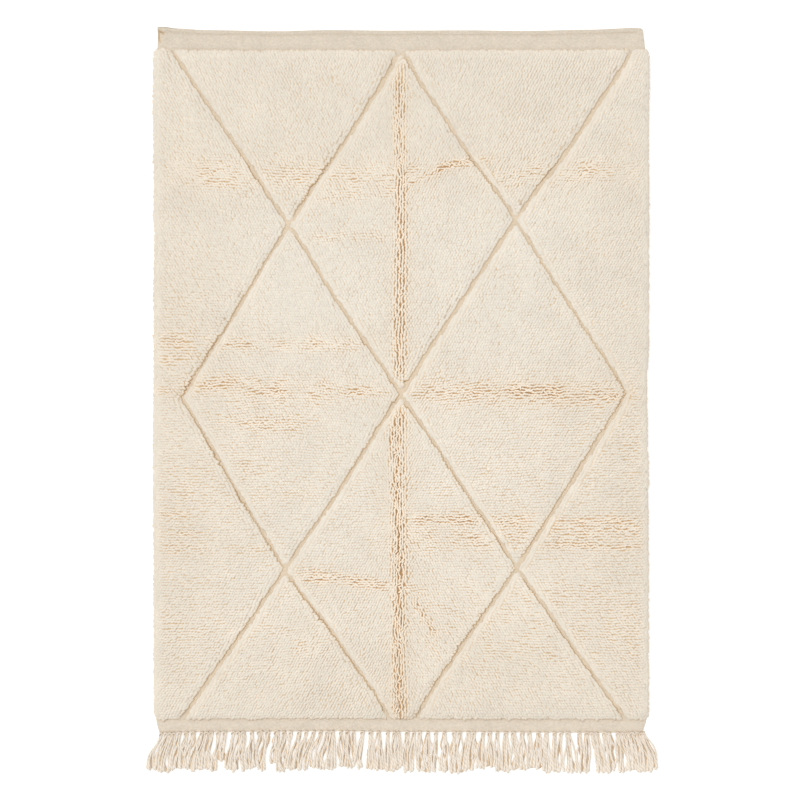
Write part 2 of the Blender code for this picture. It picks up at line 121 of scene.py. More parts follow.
# The lattice: at a point, how far it lies to the right and up (+).
LATTICE_STRAY = table(
    "Stray", "x y right up",
    (-751, 1135, 6, 1), (-1, 1138, 2, -31), (745, 1135, 15, -7), (-369, 580, 6, -15), (366, 577, 5, 6),
    (-709, 23, -1, -16), (0, 36, -2, -19), (729, 19, 6, 5), (-376, -547, 0, -4), (379, -541, -6, -2),
    (-722, -1033, 9, -4), (-45, -1033, 22, 13), (39, -1033, -6, 13), (729, -1033, -1, -2),
    (-185, 859, 14, -9), (183, 306, 3, -2), (556, 856, 13, -8), (-539, 302, 11, -7), (-188, -256, 9, -6),
    (554, -261, -1, 1), (-549, -790, 6, -4), (209, -787, -7, 4), (-560, 857, 2, 2), (182, 857, -5, -3),
    (-184, 308, -11, -7), (548, 298, 2, 2), (-542, -262, -6, -4), (190, -252, -7, -5), (-210, -790, 11, 7),
    (554, -787, -5, -3),
)
print("places measured", len(SIDE_DRIFT), len(END_DRIFT), len(LATTICE_STRAY))

# %% Move a point of the drawing to where it lies on the cloth
STRAYS = np.array(LATTICE_STRAY) * MM
STRAY_REACH = 0.13  # how far one place of the lattice pulls its surroundings along
STRAY_REST = 0.15  # weight of staying put, beside the weights of the places near a point
CALM_SIDE, CALM_END = 0.10, 0.12  # the lattice's straying fades out this near to a side or an end
WOBBLE, WOBBLES = 0.0022, 22.0  # small unevenness all over, and how many times it turns in a metre


def strayed(x, y):
    """How far the lattice strays at a point, to the right and up."""
    near = np.exp(-((x - STRAYS[:, 0]) ** 2 + (y - STRAYS[:, 1]) ** 2) / STRAY_REACH ** 2)
    right, up = near @ STRAYS[:, 2:] / (near.sum() + STRAY_REST)
    from_side = min(max((HALF_WIDTH - abs(x)) / CALM_SIDE, 0.0), 1.0)
    from_end = min(max(min(PILE_TOP - y, y - PILE_LOW) / CALM_END, 0.0), 1.0)
    return right * from_side, up * from_end


def eased(listed, key, column, at):
    """A column of a table of named rows, read between two rows with a soft turn at each."""
    rows = sorted(listed, key=lambda row: getattr(row, key))
    if at <= getattr(rows[0], key):
        return getattr(rows[0], column)
    for low, high in zip(rows, rows[1:]):
        start, end = getattr(low, key), getattr(high, key)
        if at <= end:
            along = (at - start) / (end - start)
            along = along * along * (3 - 2 * along)
            return getattr(low, column) * (1 - along) + getattr(high, column) * along
    return getattr(rows[-1], column)


def hand_woven(x, y):
    """Moves a point of the straight drawing to where it lies on the slightly crooked cloth."""
    side = "left" if x < 0 else "right"
    to_side = min(abs(x) / HALF_WIDTH, 1.0) ** 4
    inwards = eased(SIDE_DRIFT, "y", side, y / MM) * MM * to_side
    end, edge = ("hem", HEM_EDGE) if y > 0 else ("fringe", -FRINGE_EDGE)
    to_end = min(abs(y) / edge, 1.0) ** 6
    along = eased(END_DRIFT, "x", end, x / MM) * MM * to_end
    wobble = WOBBLE * (1 - to_side) * (1 - to_end)
    place = Vector((x * WOBBLES, y * WOBBLES, 0.0))
    right, up = strayed(x, y)
    return (
        x - math.copysign(inwards, x) + right + wobble * noise.noise(place),
        y + along + up + wobble * noise.noise(place + Vector((0.0, 0.0, 9.0))),
    )


print("the middle of the lattice moves to", [round(c, 4) for c in hand_woven(*CENTRE)])

# %% Line the drawing up with the plain model
def stepped(start, end, step):
    """Points from start up to, but not including, end, about a step apart."""
    start, end = Vector(start), Vector(end)
    count = max(1, round((end - start).length / step))
    return [start.lerp(end, i / count) for i in range(count)]


# The model stands with the middle of its plan over the origin. The drawing is slid by the same amount,
# found from where the cloth's own corners came to lie.
corners = (
    (-HALF_WIDTH, FRINGE_EDGE), (HALF_WIDTH, FRINGE_EDGE), (HALF_WIDTH, HEM_EDGE), (-HALF_WIDTH, HEM_EDGE),
)
outline = [
    hand_woven(p.x, p.y)
    for start, end in zip(corners, corners[1:] + corners[:1]) for p in stepped(start, end, EDGE_STEP)
]
cloth_low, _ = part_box("rug")
SLIDE = Vector((cloth_low.x - min(x for x, _ in outline), cloth_low.y - min(y for _, y in outline)))
print("slide in mm", round(SLIDE.x / MM, 2), round(SLIDE.y / MM, 2))


def on_cloth(x, y):
    """A point of the drawing, in the frame of the model."""
    x, y = hand_woven(x, y)
    return x + SLIDE.x, y + SLIDE.y


# %% [markdown]
# ## Helpers for finishes
# Colours are picked in the way a screen shows them, as sRGB hex codes, while a shader adds up light, which
# needs linear numbers. One function turns the first into the second. Another adds a node with its settings
# and links in one line, so that a finish reads from top to bottom like a recipe.

# %% Colours and nodes
def linear(code):
    """An sRGB hex colour as the linear colour that a shader's socket takes."""
    shares = [int(code[i:i + 2], 16) / 255 for i in (1, 3, 5)]
    return (*[s / 12.92 if s <= 0.04045 else ((s + 0.055) / 1.055) ** 2.4 for s in shares], 1.0)


def join(material, value, node, socket):
    """Gives a node's socket a value, an output of another node, or a node, of which it takes the first."""
    if isinstance(value, bpy.types.Node):
        value = value.outputs[0]
    if isinstance(value, bpy.types.NodeSocket):
        material.node_tree.links.new(value, node.inputs[socket])
    else:
        node.inputs[socket].default_value = value


def add(material, kind, inputs=None, stops=None, **settings):
    """Adds a node. inputs says what each named or numbered socket gets, as join takes it. stops gives a
    colour ramp its colours, each as place: hex colour."""
    made = material.node_tree.nodes.new("ShaderNode" + kind)
    for name, value in settings.items():
        setattr(made, name, value)
    for socket, value in (inputs or {}).items():
        join(material, value, made, socket)
    if stops:
        band = made.color_ramp.elements
        while len(band) < len(stops):
            band.new(0.5)
        for element, (place, code) in zip(band, stops.items()):
            element.position, element.color = place, linear(code)
    return made


def finish(name, **shader):
    """An empty finish: a material and its one shader, with the numbers that are the same all over."""
    material = bpy.data.materials.new(name)
    material.use_nodes = True
    bsdf = material.node_tree.nodes["Principled BSDF"]
    for socket, value in shader.items():
        bsdf.inputs[socket.replace("_", " ")].default_value = value
    return material, bsdf


def uneven(material, place, patches, detail, low, high):
    """Soft blotches that vary between low and high, with so many patches in a metre."""
    blotches = add(material, "TexNoise", {"Vector": place, "Scale": patches, "Detail": detail})
    return add(material, "MapRange", {"Value": blotches, 1: 0.3, 2: 0.7, 3: low, 4: high})


def dress(material, shader, colour, height, strength, distance, invert=False):
    """Gives a finish its colour, and the relief of a height, at most distance metres high."""
    bump = {"Height": height, "Strength": strength, "Distance": distance}
    join(material, colour, shader, "Base Color")
    join(material, add(material, "Bump", bump, invert=invert), shader, "Normal")
    print("finish", material.name)


print("helpers ready, for example cream is", [round(c, 3) for c in linear("#efe6d6")])

# %% [markdown]
# ## Wool for the pile
# The tufts are cut ends of hand-spun, undyed sheep's wool. Wool is matt with a faint sheen of fine fibres,
# and the light that gets between two tufts comes back warmer, because it has met the wool several times.
# That warm light and the shade deep in the pile are painted: a colour that runs from a painted warm tan
# shade at the root to the wool's own cream at the tip follows each tuft, with an attribute that the mesh
# carries. Each tuft also has a shade of its own by chance, painted lighter on the ridges of a fold as a
# painted highlight, and the fleece itself varies a little over a hand's width. Fine streaks along the tuft
# are the spun fibres, about half a millimetre wide.

# %% Finish: hand-spun sheep's wool, cut pile
WOOL_SHEEN = {"Roughness": 0.95, "Specular_IOR_Level": 0.15, "Sheen_Weight": 0.25, "Sheen_Roughness": 0.6}
pile_wool, shader = finish("hand_spun_wool_cut_pile", **WOOL_SHEEN)
along = add(pile_wool, "Attribute", attribute_name="along").outputs["Fac"]
tone = add(pile_wool, "Attribute", attribute_name="tone").outputs["Fac"]
# Painted shade: the tan low on each tuft stands for shade and warm bounced light; the cream tip is the wool's
# own.
cream_and_painted_shade = add(
    pile_wool, "ValToRGB", {"Fac": along}, {0.0: "#a87a4a", 0.5: "#d8bb94", 0.8: "#e8dac6", 1.0: "#efe8dc"},
)
place = add(pile_wool, "TexCoord").outputs["Object"]
fleece = uneven(pile_wool, place, 9.0, 3.0, 0.965, 1.02)  # patches of 11 cm
shade = add(pile_wool, "Math", {0: tone, 1: fleece}, operation="MULTIPLY")
colour = add(pile_wool, "VectorMath", {0: cream_and_painted_shade, "Scale": shade}, operation="SCALE")
strand_map = add(pile_wool, "UVMap", uv_map="strands")
streaks = add(pile_wool, "Mapping", {"Vector": strand_map, "Scale": (1.0, 0.18, 1.0)})
fibres = add(pile_wool, "TexNoise", {"Vector": streaks, "Scale": 1400.0, "Detail": 2.0})
dress(pile_wool, shader, colour, fibres, 0.5, 0.0006)

# %% [markdown]
# ## Wool for the flat-woven ground
# Between the fields of pile, and at both ends, the ground shows: a plain weave in which the weft is beaten
# down so hard that it hides the warp. The eye sees rows of short ovals, like bricks, each one where the weft
# passes over a warp yarn. A brick pattern with soft joints has just that layout. The real weft is about
# 2 mm thick, which a picture of the whole rug can't show, so it is drawn 3 mm thick and 6 mm long. Thick and
# thin places in the spun yarn make slubs of 6 mm, and the fleece itself varies over 4 cm.

# %% Finish: weft-faced plain weave in undyed wool
ground_wool, shader = finish("weft_faced_wool_weave", **WOOL_SHEEN)
place = add(ground_wool, "TexCoord").outputs["Object"]
stray = add(ground_wool, "TexNoise", {"Vector": place, "Scale": 60.0, "Detail": 2.0}).outputs["Color"]
stray = add(ground_wool, "VectorMath", {0: stray, 1: (-0.5, -0.5, -0.5)}, operation="ADD")
stray = add(ground_wool, "VectorMath", {0: stray, "Scale": 0.004}, operation="SCALE")
crooked = add(ground_wool, "VectorMath", {0: place, 1: stray}, operation="ADD")
wefts = add(
    ground_wool, "TexBrick",
    {"Vector": crooked, "Color1": linear("#f6ecdd"), "Color2": linear("#eee2d0"), "Mortar": linear("#dbc6ab"),
     "Scale": 1000.0, "Mortar Size": 0.45, "Mortar Smooth": 1.0, "Bias": 0.0, "Brick Width": 6.0,
     "Row Height": 3.0},
    offset=0.5, offset_frequency=2,
)
blotch = uneven(ground_wool, place, 25.0, 4.0, 0.94, 1.02)
slubs = uneven(ground_wool, place, 170.0, 1.0, 0.925, 1.035)
shade = add(ground_wool, "Math", {0: blotch, 1: slubs}, operation="MULTIPLY")
colour = add(ground_wool, "VectorMath", {0: wefts, "Scale": shade}, operation="SCALE")
# Painted shade: this attribute warms the cloth among the knots and in the grooves, for light bounced off the
# wool, and browns the creases of the curled corner.
warm_painted_shade = add(ground_wool, "Attribute", attribute_name="warm_painted_shade").outputs["Fac"]
painted_shade_tint = add(ground_wool, "ValToRGB", {"Fac": warm_painted_shade}, {0.0: "#ffffff", 0.4: "#fdf6ec", 1.0: "#cdb697"})
# Painted shade: the tone darkens the hem band, most along its outer edge.
tone = add(ground_wool, "Attribute", attribute_name="tone").outputs["Fac"]
colour = add(ground_wool, "VectorMath", {0: colour, 1: painted_shade_tint}, operation="MULTIPLY")
colour = add(ground_wool, "VectorMath", {0: colour, "Scale": tone}, operation="SCALE")
dress(ground_wool, shader, colour, wefts.outputs["Fac"], 0.6, 0.0008, invert=True)

# %% [markdown]
# ## Wool for the fringe
# The fringe is the warp itself: two or three strands twisted into a yarn. What shows is a rope-like slant
# of light ridges with slightly warmer, darker hollows between them, whose colour is painted shade beside
# the plies' bump. The slant is drawn on the yarn's own map, which runs once round the yarn and along it in
# metres. Two plies turn once in 28 mm, so that a ridge comes every 14 mm, about twice as coarse as on the
# real yarn, or the picture of the whole rug would lose it. Each yarn has a tone, and the low tones are a
# painted tan shade, for the yarns that lie underneath in the shade of the others.

# %% Finish: plied wool warp yarn
PLY_TURN = 0.028  # length of yarn in which a ply turns once
yarn_wool, shader = finish("plied_wool_warp_yarn", **WOOL_SHEEN)
yarn_map = add(yarn_wool, "UVMap", uv_map="strands")
parts = add(yarn_wool, "SeparateXYZ", {"Vector": yarn_map})
turns = add(yarn_wool, "Math", {0: parts.outputs["Y"], 1: 1 / PLY_TURN}, operation="MULTIPLY")
phase = add(yarn_wool, "Math", {0: parts.outputs["X"], 1: turns}, operation="ADD")
phase = add(yarn_wool, "Math", {0: phase, 1: 2 * math.tau}, operation="MULTIPLY")
plies = add(yarn_wool, "Math", {0: phase}, operation="SINE")
plies = add(yarn_wool, "MapRange", {"Value": plies, 1: -1.0, 2: 1.0})
# Painted shade: darker and warmer in the hollows between the plies.
slant = add(
    yarn_wool, "ValToRGB", {"Fac": plies}, {0.0: "#ebdcc8", 0.3: "#f0e5d6", 0.6: "#f3ebe0", 1.0: "#f6f0e7"},
)
tone = add(yarn_wool, "Attribute", attribute_name="tone").outputs["Fac"]
# Painted shade: the low tones are the tan of shaded under-yarns and of the yarns' shaded roots.
warmth = add(yarn_wool, "ValToRGB", {"Fac": tone}, {0.0: "#b48a60", 0.5: "#eadbc6", 1.0: "#ffffff"})
colour = add(yarn_wool, "VectorMath", {0: slant, 1: warmth}, operation="MULTIPLY")
dress(yarn_wool, shader, colour, plies, 0.5, 0.0010)

# %% [markdown]
# ## The ground cloth
# The flat-woven cloth under the pile is one sheet. It could be a box, but its edges wander, its hem is
# folded over, and one corner has curled up. So a flat grid is made first, cut where the hem's fold will be,
# made finer near the curled corner and rounded at the corner across from it. It is given its thickness, and
# only then moved to the real outline and given its heights, so that the underside stays flat on the floor.
# Last, its upper rim is rounded over with a bevel, as cloth has no sharp edges.

# %% Heights of the cloth
HEM_STEP = 0.005  # the slope from the fold down to the single cloth
CURL = (-HALF_WIDTH + 0.012, HEM_EDGE)  # the corner that curls up
CURL_REACH, CURL_LIFT = 0.034, 0.006
CREASES = (((0.004, -0.010), (0.020, -0.020)), ((0.003, -0.014), (0.008, -0.046)))  # from the cloth's corner
CREASE_WIDE, CREASE_DEEP = 0.0045, 0.0036
KNOT_SWELL, SWELL_REACH = 0.0088, 0.03  # the knots' own yarn thickens the cloth among them


def lift_at(x, y):
    """How far the curled corner stands off the floor."""
    away = math.hypot(x - CURL[0], y - CURL[1]) / CURL_REACH
    return CURL_LIFT * max(0.0, 1 - away) ** 1.5


def crease_at(x, y):
    """How deep a point lies in one of the two creases that cross the curled corner, from 0 to 1."""
    from_corner = Vector((x + HALF_WIDTH, y - HEM_EDGE))
    depth = 0.0
    for start, end in CREASES:
        start, end = Vector(start), Vector(end)
        run = end - start
        share = min(max((from_corner - start).dot(run) / run.length_squared, 0.0), 1.0)
        depth = max(depth, math.exp(-((from_corner - start - run * share).length / CREASE_WIDE) ** 2))
    return depth


def ground_at(y):
    """Height of the cloth among the knots, at one or many distances along the rug."""
    return GROUND + KNOT_SWELL * np.clip(np.minimum(PILE_TOP - y, y - PILE_LOW) / SWELL_REACH, 0, 1)


def cloth_height(x, y):
    """Height of the cloth's upper face at a point of the drawing."""
    fold = min(max((y - (HEM_EDGE - HEM_FOLD - HEM_STEP)) / HEM_STEP, 0.0), 1.0)
    ripple = 0.0004 * noise.noise(Vector((x * 14, y * 30, 0.0)))
    puckers = 0.0005 * fold * noise.noise(Vector((x * 60, 0.0, 4.0)))
    return float(ground_at(y)) + (HEM_THICK - GROUND) * fold + ripple + puckers + lift_at(x, y)


print("the cloth is", round(cloth_height(0, 0) / MM, 1), "mm high in the middle of the pile")

# %% A flat grid for the ground cloth
FINE_REACH, CORNER_ROUND = 0.075, 0.010
bm = bmesh.new()
bmesh.ops.create_grid(bm, x_segments=52, y_segments=74, size=1.0)
length = HEM_EDGE - FRINGE_EDGE
bmesh.ops.scale(bm, vec=(HALF_WIDTH, length / 2, 1.0), verts=bm.verts)
bmesh.ops.translate(bm, vec=(0.0, (HEM_EDGE + FRINGE_EDGE) / 2, 0.0), verts=bm.verts)
fold_line = HEM_EDGE - HEM_FOLD
for y in (fold_line, fold_line - HEM_STEP, fold_line - HEM_STEP - 0.004):
    bmesh.ops.bisect_plane(
        bm, geom=bm.verts[:] + bm.edges[:] + bm.faces[:], dist=1e-6, plane_co=(0, y, 0), plane_no=(0, 1, 0),
    )
near_curl = [
    edge for edge in bm.edges if all((Vector(CURL) - vert.co.xy).length < FINE_REACH for vert in edge.verts)
]
bmesh.ops.subdivide_edges(bm, edges=near_curl, cuts=5, use_grid_fill=True)
corner = max(bm.verts, key=lambda vert: vert.co.x + vert.co.y)
bmesh.ops.bevel(
    bm, geom=[corner], offset=CORNER_ROUND, offset_type="OFFSET", segments=3, profile=0.5, affect="VERTICES",
    material=-1,
)
print("grid of", len(bm.verts), "points")

# %% Its thickness, outline, heights and rim
RIM_ROUND = 0.0030


def smooth_mesh(bm, name):
    """The finished mesh of a bmesh, shaded smooth."""
    mesh = bpy.data.meshes.new(name)
    bm.to_mesh(mesh)
    bm.free()
    mesh.shade_smooth()
    return mesh


def new_piece(name, mesh, material):
    """An object at the origin that rides on the rug's one body."""
    mesh.name = name
    mesh.materials.clear()
    mesh.materials.append(material)
    piece = bpy.data.objects.new(name, mesh)
    bpy.context.collection.objects.link(piece)
    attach(piece, "root")
    return piece


warm_painted_shade = bm.verts.layers.float.new("warm_painted_shade")
tone = bm.verts.layers.float.new("tone")
rim = [edge for edge in bm.edges if edge.is_boundary]
upper = set(bm.verts)
bmesh.ops.solidify(bm, geom=bm.faces[:], thickness=GROUND)
for vert in bm.verts:
    x, y = vert.co.x, vert.co.y
    crease = crease_at(x, y)
    # Painted shade: warmer among the knots and in the grooves, for light bounced off the wool, and browner in
    # the creases of the curled corner.
    vert[warm_painted_shade] = 0.4 if PILE_LOW < y < PILE_TOP else 0.8 * crease
    # Painted shade: the hem band is painted a little darker, and darker still along its outer edge, which
    # faces the light.
    vert[tone] = 0.90 if y > HEM_EDGE - 0.002 else 0.965 if y > PILE_TOP else 1.0
    vert.co.x, vert.co.y = on_cloth(x, y)
    vert.co.z = cloth_height(x, y) - CREASE_DEEP * crease if vert in upper else lift_at(x, y)
bmesh.ops.recalc_face_normals(bm, faces=bm.faces)
upper_rim = [edge for edge in rim if edge.is_valid]
bmesh.ops.bevel(
    bm, geom=upper_rim, offset=RIM_ROUND, offset_type="OFFSET", segments=3, profile=0.5, affect="EDGES",
    material=-1,
)
cloth_mesh = smooth_mesh(bm, "ground_cloth")
cloth = new_piece("ground_cloth", cloth_mesh, ground_wool)
print("ground cloth", len(cloth_mesh.vertices), "points")

# %% [markdown]
# ## One shape, many copies
# The rug holds some forty-one thousand tufts and a few hundred yarns. Each kind is modelled once, as a
# straight piece one unit high, and an Array modifier lays as many copies as are needed on top of each other.
# One sum over all their points then sets every copy in its own place, size and lean. Each copy also gets a
# square of its own on one map, and a second map in metres for patterns. Its foot
# is left open, because it is always hidden in the wool below it.

# %% A straight rod
def rod(name, sides, rings, tip):
    """A rod along Z, with a radius for each height in rings, drawn together to a point at the height tip."""
    bm = bmesh.new()
    (foot, foot_radius), (second, second_radius) = rings[:2]
    bmesh.ops.create_cone(
        bm, cap_ends=True, cap_tris=False, segments=sides, radius1=foot_radius, radius2=second_radius,
        depth=second - foot,
    )
    bmesh.ops.translate(bm, vec=(0, 0, (foot + second) / 2), verts=bm.verts)
    by_height = sorted(bm.faces, key=lambda face: face.calc_center_median().z)
    bottom, top, radius = by_height[0], by_height[-1], second_radius
    for height, new_radius in rings[2:]:
        raised = bmesh.ops.extrude_discrete_faces(bm, faces=[top])["faces"]
        top = raised[0]
        bmesh.ops.scale(bm, vec=(new_radius / radius, new_radius / radius, 1.0), verts=top.verts)
        bmesh.ops.translate(bm, vec=(0, 0, height - top.verts[0].co.z), verts=top.verts)
        radius = new_radius
    reach = tip - top.verts[0].co.z
    bmesh.ops.poke(bm, faces=[top], offset=reach)
    bmesh.ops.delete(bm, geom=[bottom], context="FACES_ONLY")
    for map_name in ("OFBake", "strands"):
        layer = bm.loops.layers.uv.new(map_name)
        for face in bm.faces:
            middle = face.calc_center_median()
            turn = math.atan2(middle.y, middle.x)
            for loop in face.loops:
                co = loop.vert.co
                own = turn
                if math.hypot(co.x, co.y) > 1e-5:
                    own = math.atan2(co.y, co.x)
                    own += math.tau * round((turn - own) / math.tau)
                loop[layer].uv = (own / math.tau, co.z)
    mesh = smooth_mesh(bm, name)
    for map_name in ("OFBake", "strands"):
        flat = np.empty(len(mesh.loops) * 2, np.float32)
        mesh.uv_layers[map_name].data.foreach_get("uv", flat)
        flat[0::2] -= flat[0::2].min()
        mesh.uv_layers[map_name].data.foreach_set("uv", flat)
    print(name, "has", sum(len(face.vertices) - 2 for face in mesh.polygons), "triangles")
    return mesh


# %% Copies of a rod
BAKE_MARGIN = 0.08  # share of a copy's square that stays empty at each edge


def copies(template, count):
    """A mesh of count copies of a template, all still in one place, and its points as an array of copies by
    points by X, Y and Z."""
    holder = bpy.data.objects.new("holder", template)
    bpy.context.collection.objects.link(holder)
    array = holder.modifiers.new("copies", "ARRAY")
    array.count = count
    array.use_relative_offset = False
    graph = bpy.context.evaluated_depsgraph_get()
    mesh = bpy.data.meshes.new_from_object(
        holder.evaluated_get(graph), preserve_all_data_layers=True, depsgraph=graph,
    )
    bpy.data.objects.remove(holder)
    flat = np.empty(len(mesh.vertices) * 3, np.float32)
    mesh.vertices.foreach_get("co", flat)
    return mesh, flat.reshape(count, -1, 3)


def set_maps(mesh, count, radius, length):
    """Gives each copy its own square of the bake map, and both its sizes in metres on the strand map, where
    every copy starts at another place of the pattern."""
    columns = math.ceil(math.sqrt(count))
    for map_name in ("OFBake", "strands"):
        layer = mesh.uv_layers[map_name]
        flat = np.empty(len(mesh.loops) * 2, np.float32)
        layer.data.foreach_get("uv", flat)
        uv = flat.reshape(count, -1, 2)
        own = np.arange(count)
        if map_name == "OFBake":
            uv = BAKE_MARGIN + uv * (1 - 2 * BAKE_MARGIN)
            uv[..., 0] += (own % columns)[:, None]
            uv[..., 1] += (own // columns)[:, None]
            uv /= columns
        else:
            uv = uv * np.array([math.tau * radius, 1.0], np.float32)
            uv[..., 1] *= np.broadcast_to(length, (count,))[:, None]
            uv += (own * 0.37 % 11.0)[:, None, None] * 0.1
        layer.data.foreach_set("uv", uv.astype(np.float32).ravel())


def set_attribute(mesh, name, values):
    """A number for each point."""
    mesh.attributes.new(name, "FLOAT", "POINT").data.foreach_set("value", values.astype(np.float32).ravel())


def lay_copies(name, mesh, placed, sizes, material, slot, **numbers):
    """Moves copies to where they were placed, and makes them a piece with its maps and numbers."""
    mesh.vertices.foreach_set("co", placed.astype(np.float32).ravel())
    for attribute, values in numbers.items():
        set_attribute(mesh, attribute, values)
    set_maps(mesh, len(placed), *sizes)
    mesh.update()
    return new_piece(name, mesh, material)


print("ready to lay copies")

# %% [markdown]
# ## Where the pile is ruffled
# A rug that has been folded keeps the marks: along a fold the tufts no longer stand in an even crowd but
# part into ridges, with deep gaps between them. One long fold runs down the middle, and shorter ones cross
# it. Each is a line in a table, with how strongly the pile is ruffled there and how wide the band is. The
# ridges follow the knots' own rows or columns, whichever run along the fold, and a fold that crosses the rug
# fades towards its ends. The last rows of the table are broad and weak. They stir the pile of the lower half
# and of the margins, which is nowhere quite even.

# %% The folds' marks, in millimetres on the drawing
FOLDS = table(
    "Fold", "strength half_width line",
    (0.60, 20, ((0, 1115), (-4, 1020))),
    (0.94, 22, ((-4, 1020), (-4, 860), (1, 700), (0, 480), (-3, 300), (-3, 70))),
    (1.12, 28, ((-8, -45), (-14, -130), (-7, -230), (-10, -330), (-6, -400), (-4, -560))),
    (1.25, 22, ((-4, -560), (-6, -700), (-7, -860), (-5, -1020))),
    (0.82, 16, ((-50, 668), (62, 712), (140, 748))),
    (0.95, 15, ((70, 718), (140, 752), (180, 764), (290, 772))),
    (0.40, 26, ((-330, 660), (-120, 668), (70, 672))),
    (0.46, 50, ((-700, 735), (-440, 730), (-250, 725), (90, 722))),
    (0.51, 26, ((-680, 706), (-560, 704), (-470, 708))),
    (0.50, 44, ((270, 728), (440, 735), (720, 730))),
    (0.36, 18, ((-330, 520), (-180, 530), (-20, 528))),
    (0.54, 42, ((-830, 185), (-690, 182), (-640, 180))),
    (0.56, 22, ((-650, 176), (-430, 178))),
    (0.52, 24, ((-470, 176), (-300, 182), (-90, 178))),
    (0.60, 34, ((-730, 50), (-420, 48))),
    (0.85, 14, ((-660, 40), (-560, 45), (-490, 34))),
    (0.48, 18, ((-590, -10), (-470, -16), (-370, -12))),
    (0.75, 18, ((-210, 26), (-120, 28), (-50, 24))),
    (0.80, 14, ((-785, 32), (-750, 30))),
    (0.58, 40, ((-560, 32), (-180, 28))),
    (0.52, 48, ((-20, 30), (180, 26), (370, 30))),
    (1.05, 26, ((310, 30), (400, 28), (560, 26))),
    (0.90, 16, ((550, 22), (640, 12), (760, 8))),
    (0.58, 45, ((60, 20), (400, 22), (740, 16))),
    (0.46, 34, ((-620, -66), (-480, -72), (-280, -74))),
    (0.74, 22, ((0, -382), (200, -386), (310, -388), (450, -392))),
    (0.66, 15, ((460, -388), (620, -392), (820, -386))),
    (0.47, 58, ((-50, -442), (300, -440), (500, -430), (860, -425))),
    (0.66, 34, ((-30, -456), (130, -452), (330, -446))),
    (0.80, 12, ((440, -472), (560, -466), (660, -474), (820, -470))),
    (0.55, 14, ((-560, -474), (-490, -478), (-420, -476))),
    (0.51, 30, ((-785, -470), (-640, -476))),
    (0.43, 12, ((-420, -302), (-340, -300), (-280, -304))),
    (0.80, 24, ((-370, -562), (-240, -574), (-150, -584), (70, -612))),
    (0.85, 15, ((45, -655), (75, -705), (108, -745))),
    (0.30, 30, ((340, -600), (500, -606), (700, -606))),
    (0.60, 14, ((-785, -366), (-690, -370))),
    (0.60, 13, ((-800, -428), (-620, -432))),
    (0.50, 26, ((-820, 135), (-640, 138))),
    (0.25, 190, ((-950, -250), (-560, -250))),
    (0.22, 230, ((-950, -750), (-100, -750))),
    (0.30, 240, ((100, -750), (950, -750))),
    (0.20, 200, ((520, -150), (950, -150))),
    (0.17, 150, ((-950, 250), (-640, 250))),
    (0.16, 200, ((-100, -230), (560, -230))),
)
print(len(FOLDS), "marks of folds")

# %% How much each point is ruffled
CROSSING = 0.1  # a fold that runs at least this far to one side crosses the rug
FADE, FADED = 0.10, 0.35  # it fades over this length, down to this share at its ends
HALO_SHADE_SPAN = 2.6  # painted warm shade spreads over a band so many times as wide as the fold


def along_line(line, points):
    """For each point: how far it lies from a line, the line's direction there, and the nearest place."""
    best, way, place = np.full(len(points), 9.0), np.zeros((len(points), 2)), points.copy()
    for start, end in zip(line, line[1:]):
        start, end = np.array(start), np.array(end)
        run = end - start
        share = np.clip(((points - start) @ run) / (run @ run), 0, 1)[:, None]
        away = np.linalg.norm(points - start - share * run, axis=1)
        nearer = away < best
        best[nearer], way[nearer] = away[nearer], run / np.linalg.norm(run)
        place[nearer] = (start + share * run)[nearer]
    return best, way, place


def ruffle(points):
    """How strongly the pile is ruffled at each point, the direction of its ridges, and a wider band of
    painted warm shade.
    """
    strength, halo_shade = np.zeros(len(points)), np.zeros(len(points))
    ways = np.zeros((len(points), 2))
    for fold in FOLDS:
        line = [(x * MM, y * MM) for x, y in fold.line]
        away, way, _ = along_line(line, points)
        first, last = line[0], line[-1]
        from_ends = np.minimum(*[np.linalg.norm(points - end, axis=1) for end in (first, last)])
        faded = np.clip(FADED + from_ends / FADE, 0, 1) if abs(first[0] - last[0]) > CROSSING else 1.0
        here = fold.strength * faded * np.exp(-((away / (fold.half_width * MM)) ** 2))
        stronger = here > strength
        ways[stronger] = way[stronger]
        strength = np.maximum(strength, here)
        halo_shade = np.maximum(halo_shade, fold.strength * np.exp(-((away / (HALO_SHADE_SPAN * fold.half_width * MM)) ** 2)))
    return strength, ways, halo_shade


print("ruffled in the middle:", round(float(ruffle(np.array([(0.0, 0.3)]))[0][0]), 2))

# %% [markdown]
# ## Where each tuft stands
# Knots are tied in rows across the rug, about 9 mm apart, with every other row set over by half a knot, and
# no row is quite even. A grid of points is shaken a little, kept where it falls inside a field, and carried
# onto the crooked cloth. A tuft is wider than a knot, so the points stop short of each kind of side by an
# inset, which was matched to how wide the grooves look.

# %% The sides of a field, and what lies inside
KNOT_PITCH, ROW_PITCH = 0.0091, 0.0086
INSET = {
    "left_of_lit_groove": 0.0114, "right_of_lit_groove": 0.0158, "left_of_soft_groove": 0.0108,
    "right_of_soft_groove": 0.0143, "selvedge": 0.0060, "hem_end": 0.0113, "fringe_end": 0.0063,
}
Side = namedtuple("Side", "start end kind inwards")


def sides_of(field):
    """The sides of a field, anticlockwise, each with its ends, its kind and the way into the field."""
    found = []
    for corner, next_corner in zip(field, field[1:] + field[:1]):
        start, end = Vector(corner), Vector(next_corner)
        run = (end - start).normalized()
        inwards = Vector((-run.y, run.x))
        if abs(corner[0]) == abs(next_corner[0]) == HALF_WIDTH:
            kind = "selvedge"
        elif min(corner[1], next_corner[1]) >= PILE_TOP:
            kind = "hem_end"
        elif max(corner[1], next_corner[1]) <= PILE_LOW:
            kind = "fringe_end"
        else:
            lit = "lit" if run.x * run.y > 0 else "soft"
            kind = f"{'right' if inwards.x > 0 else 'left'}_of_{lit}_groove"
        found.append(Side(start, end, kind, inwards))
    return found


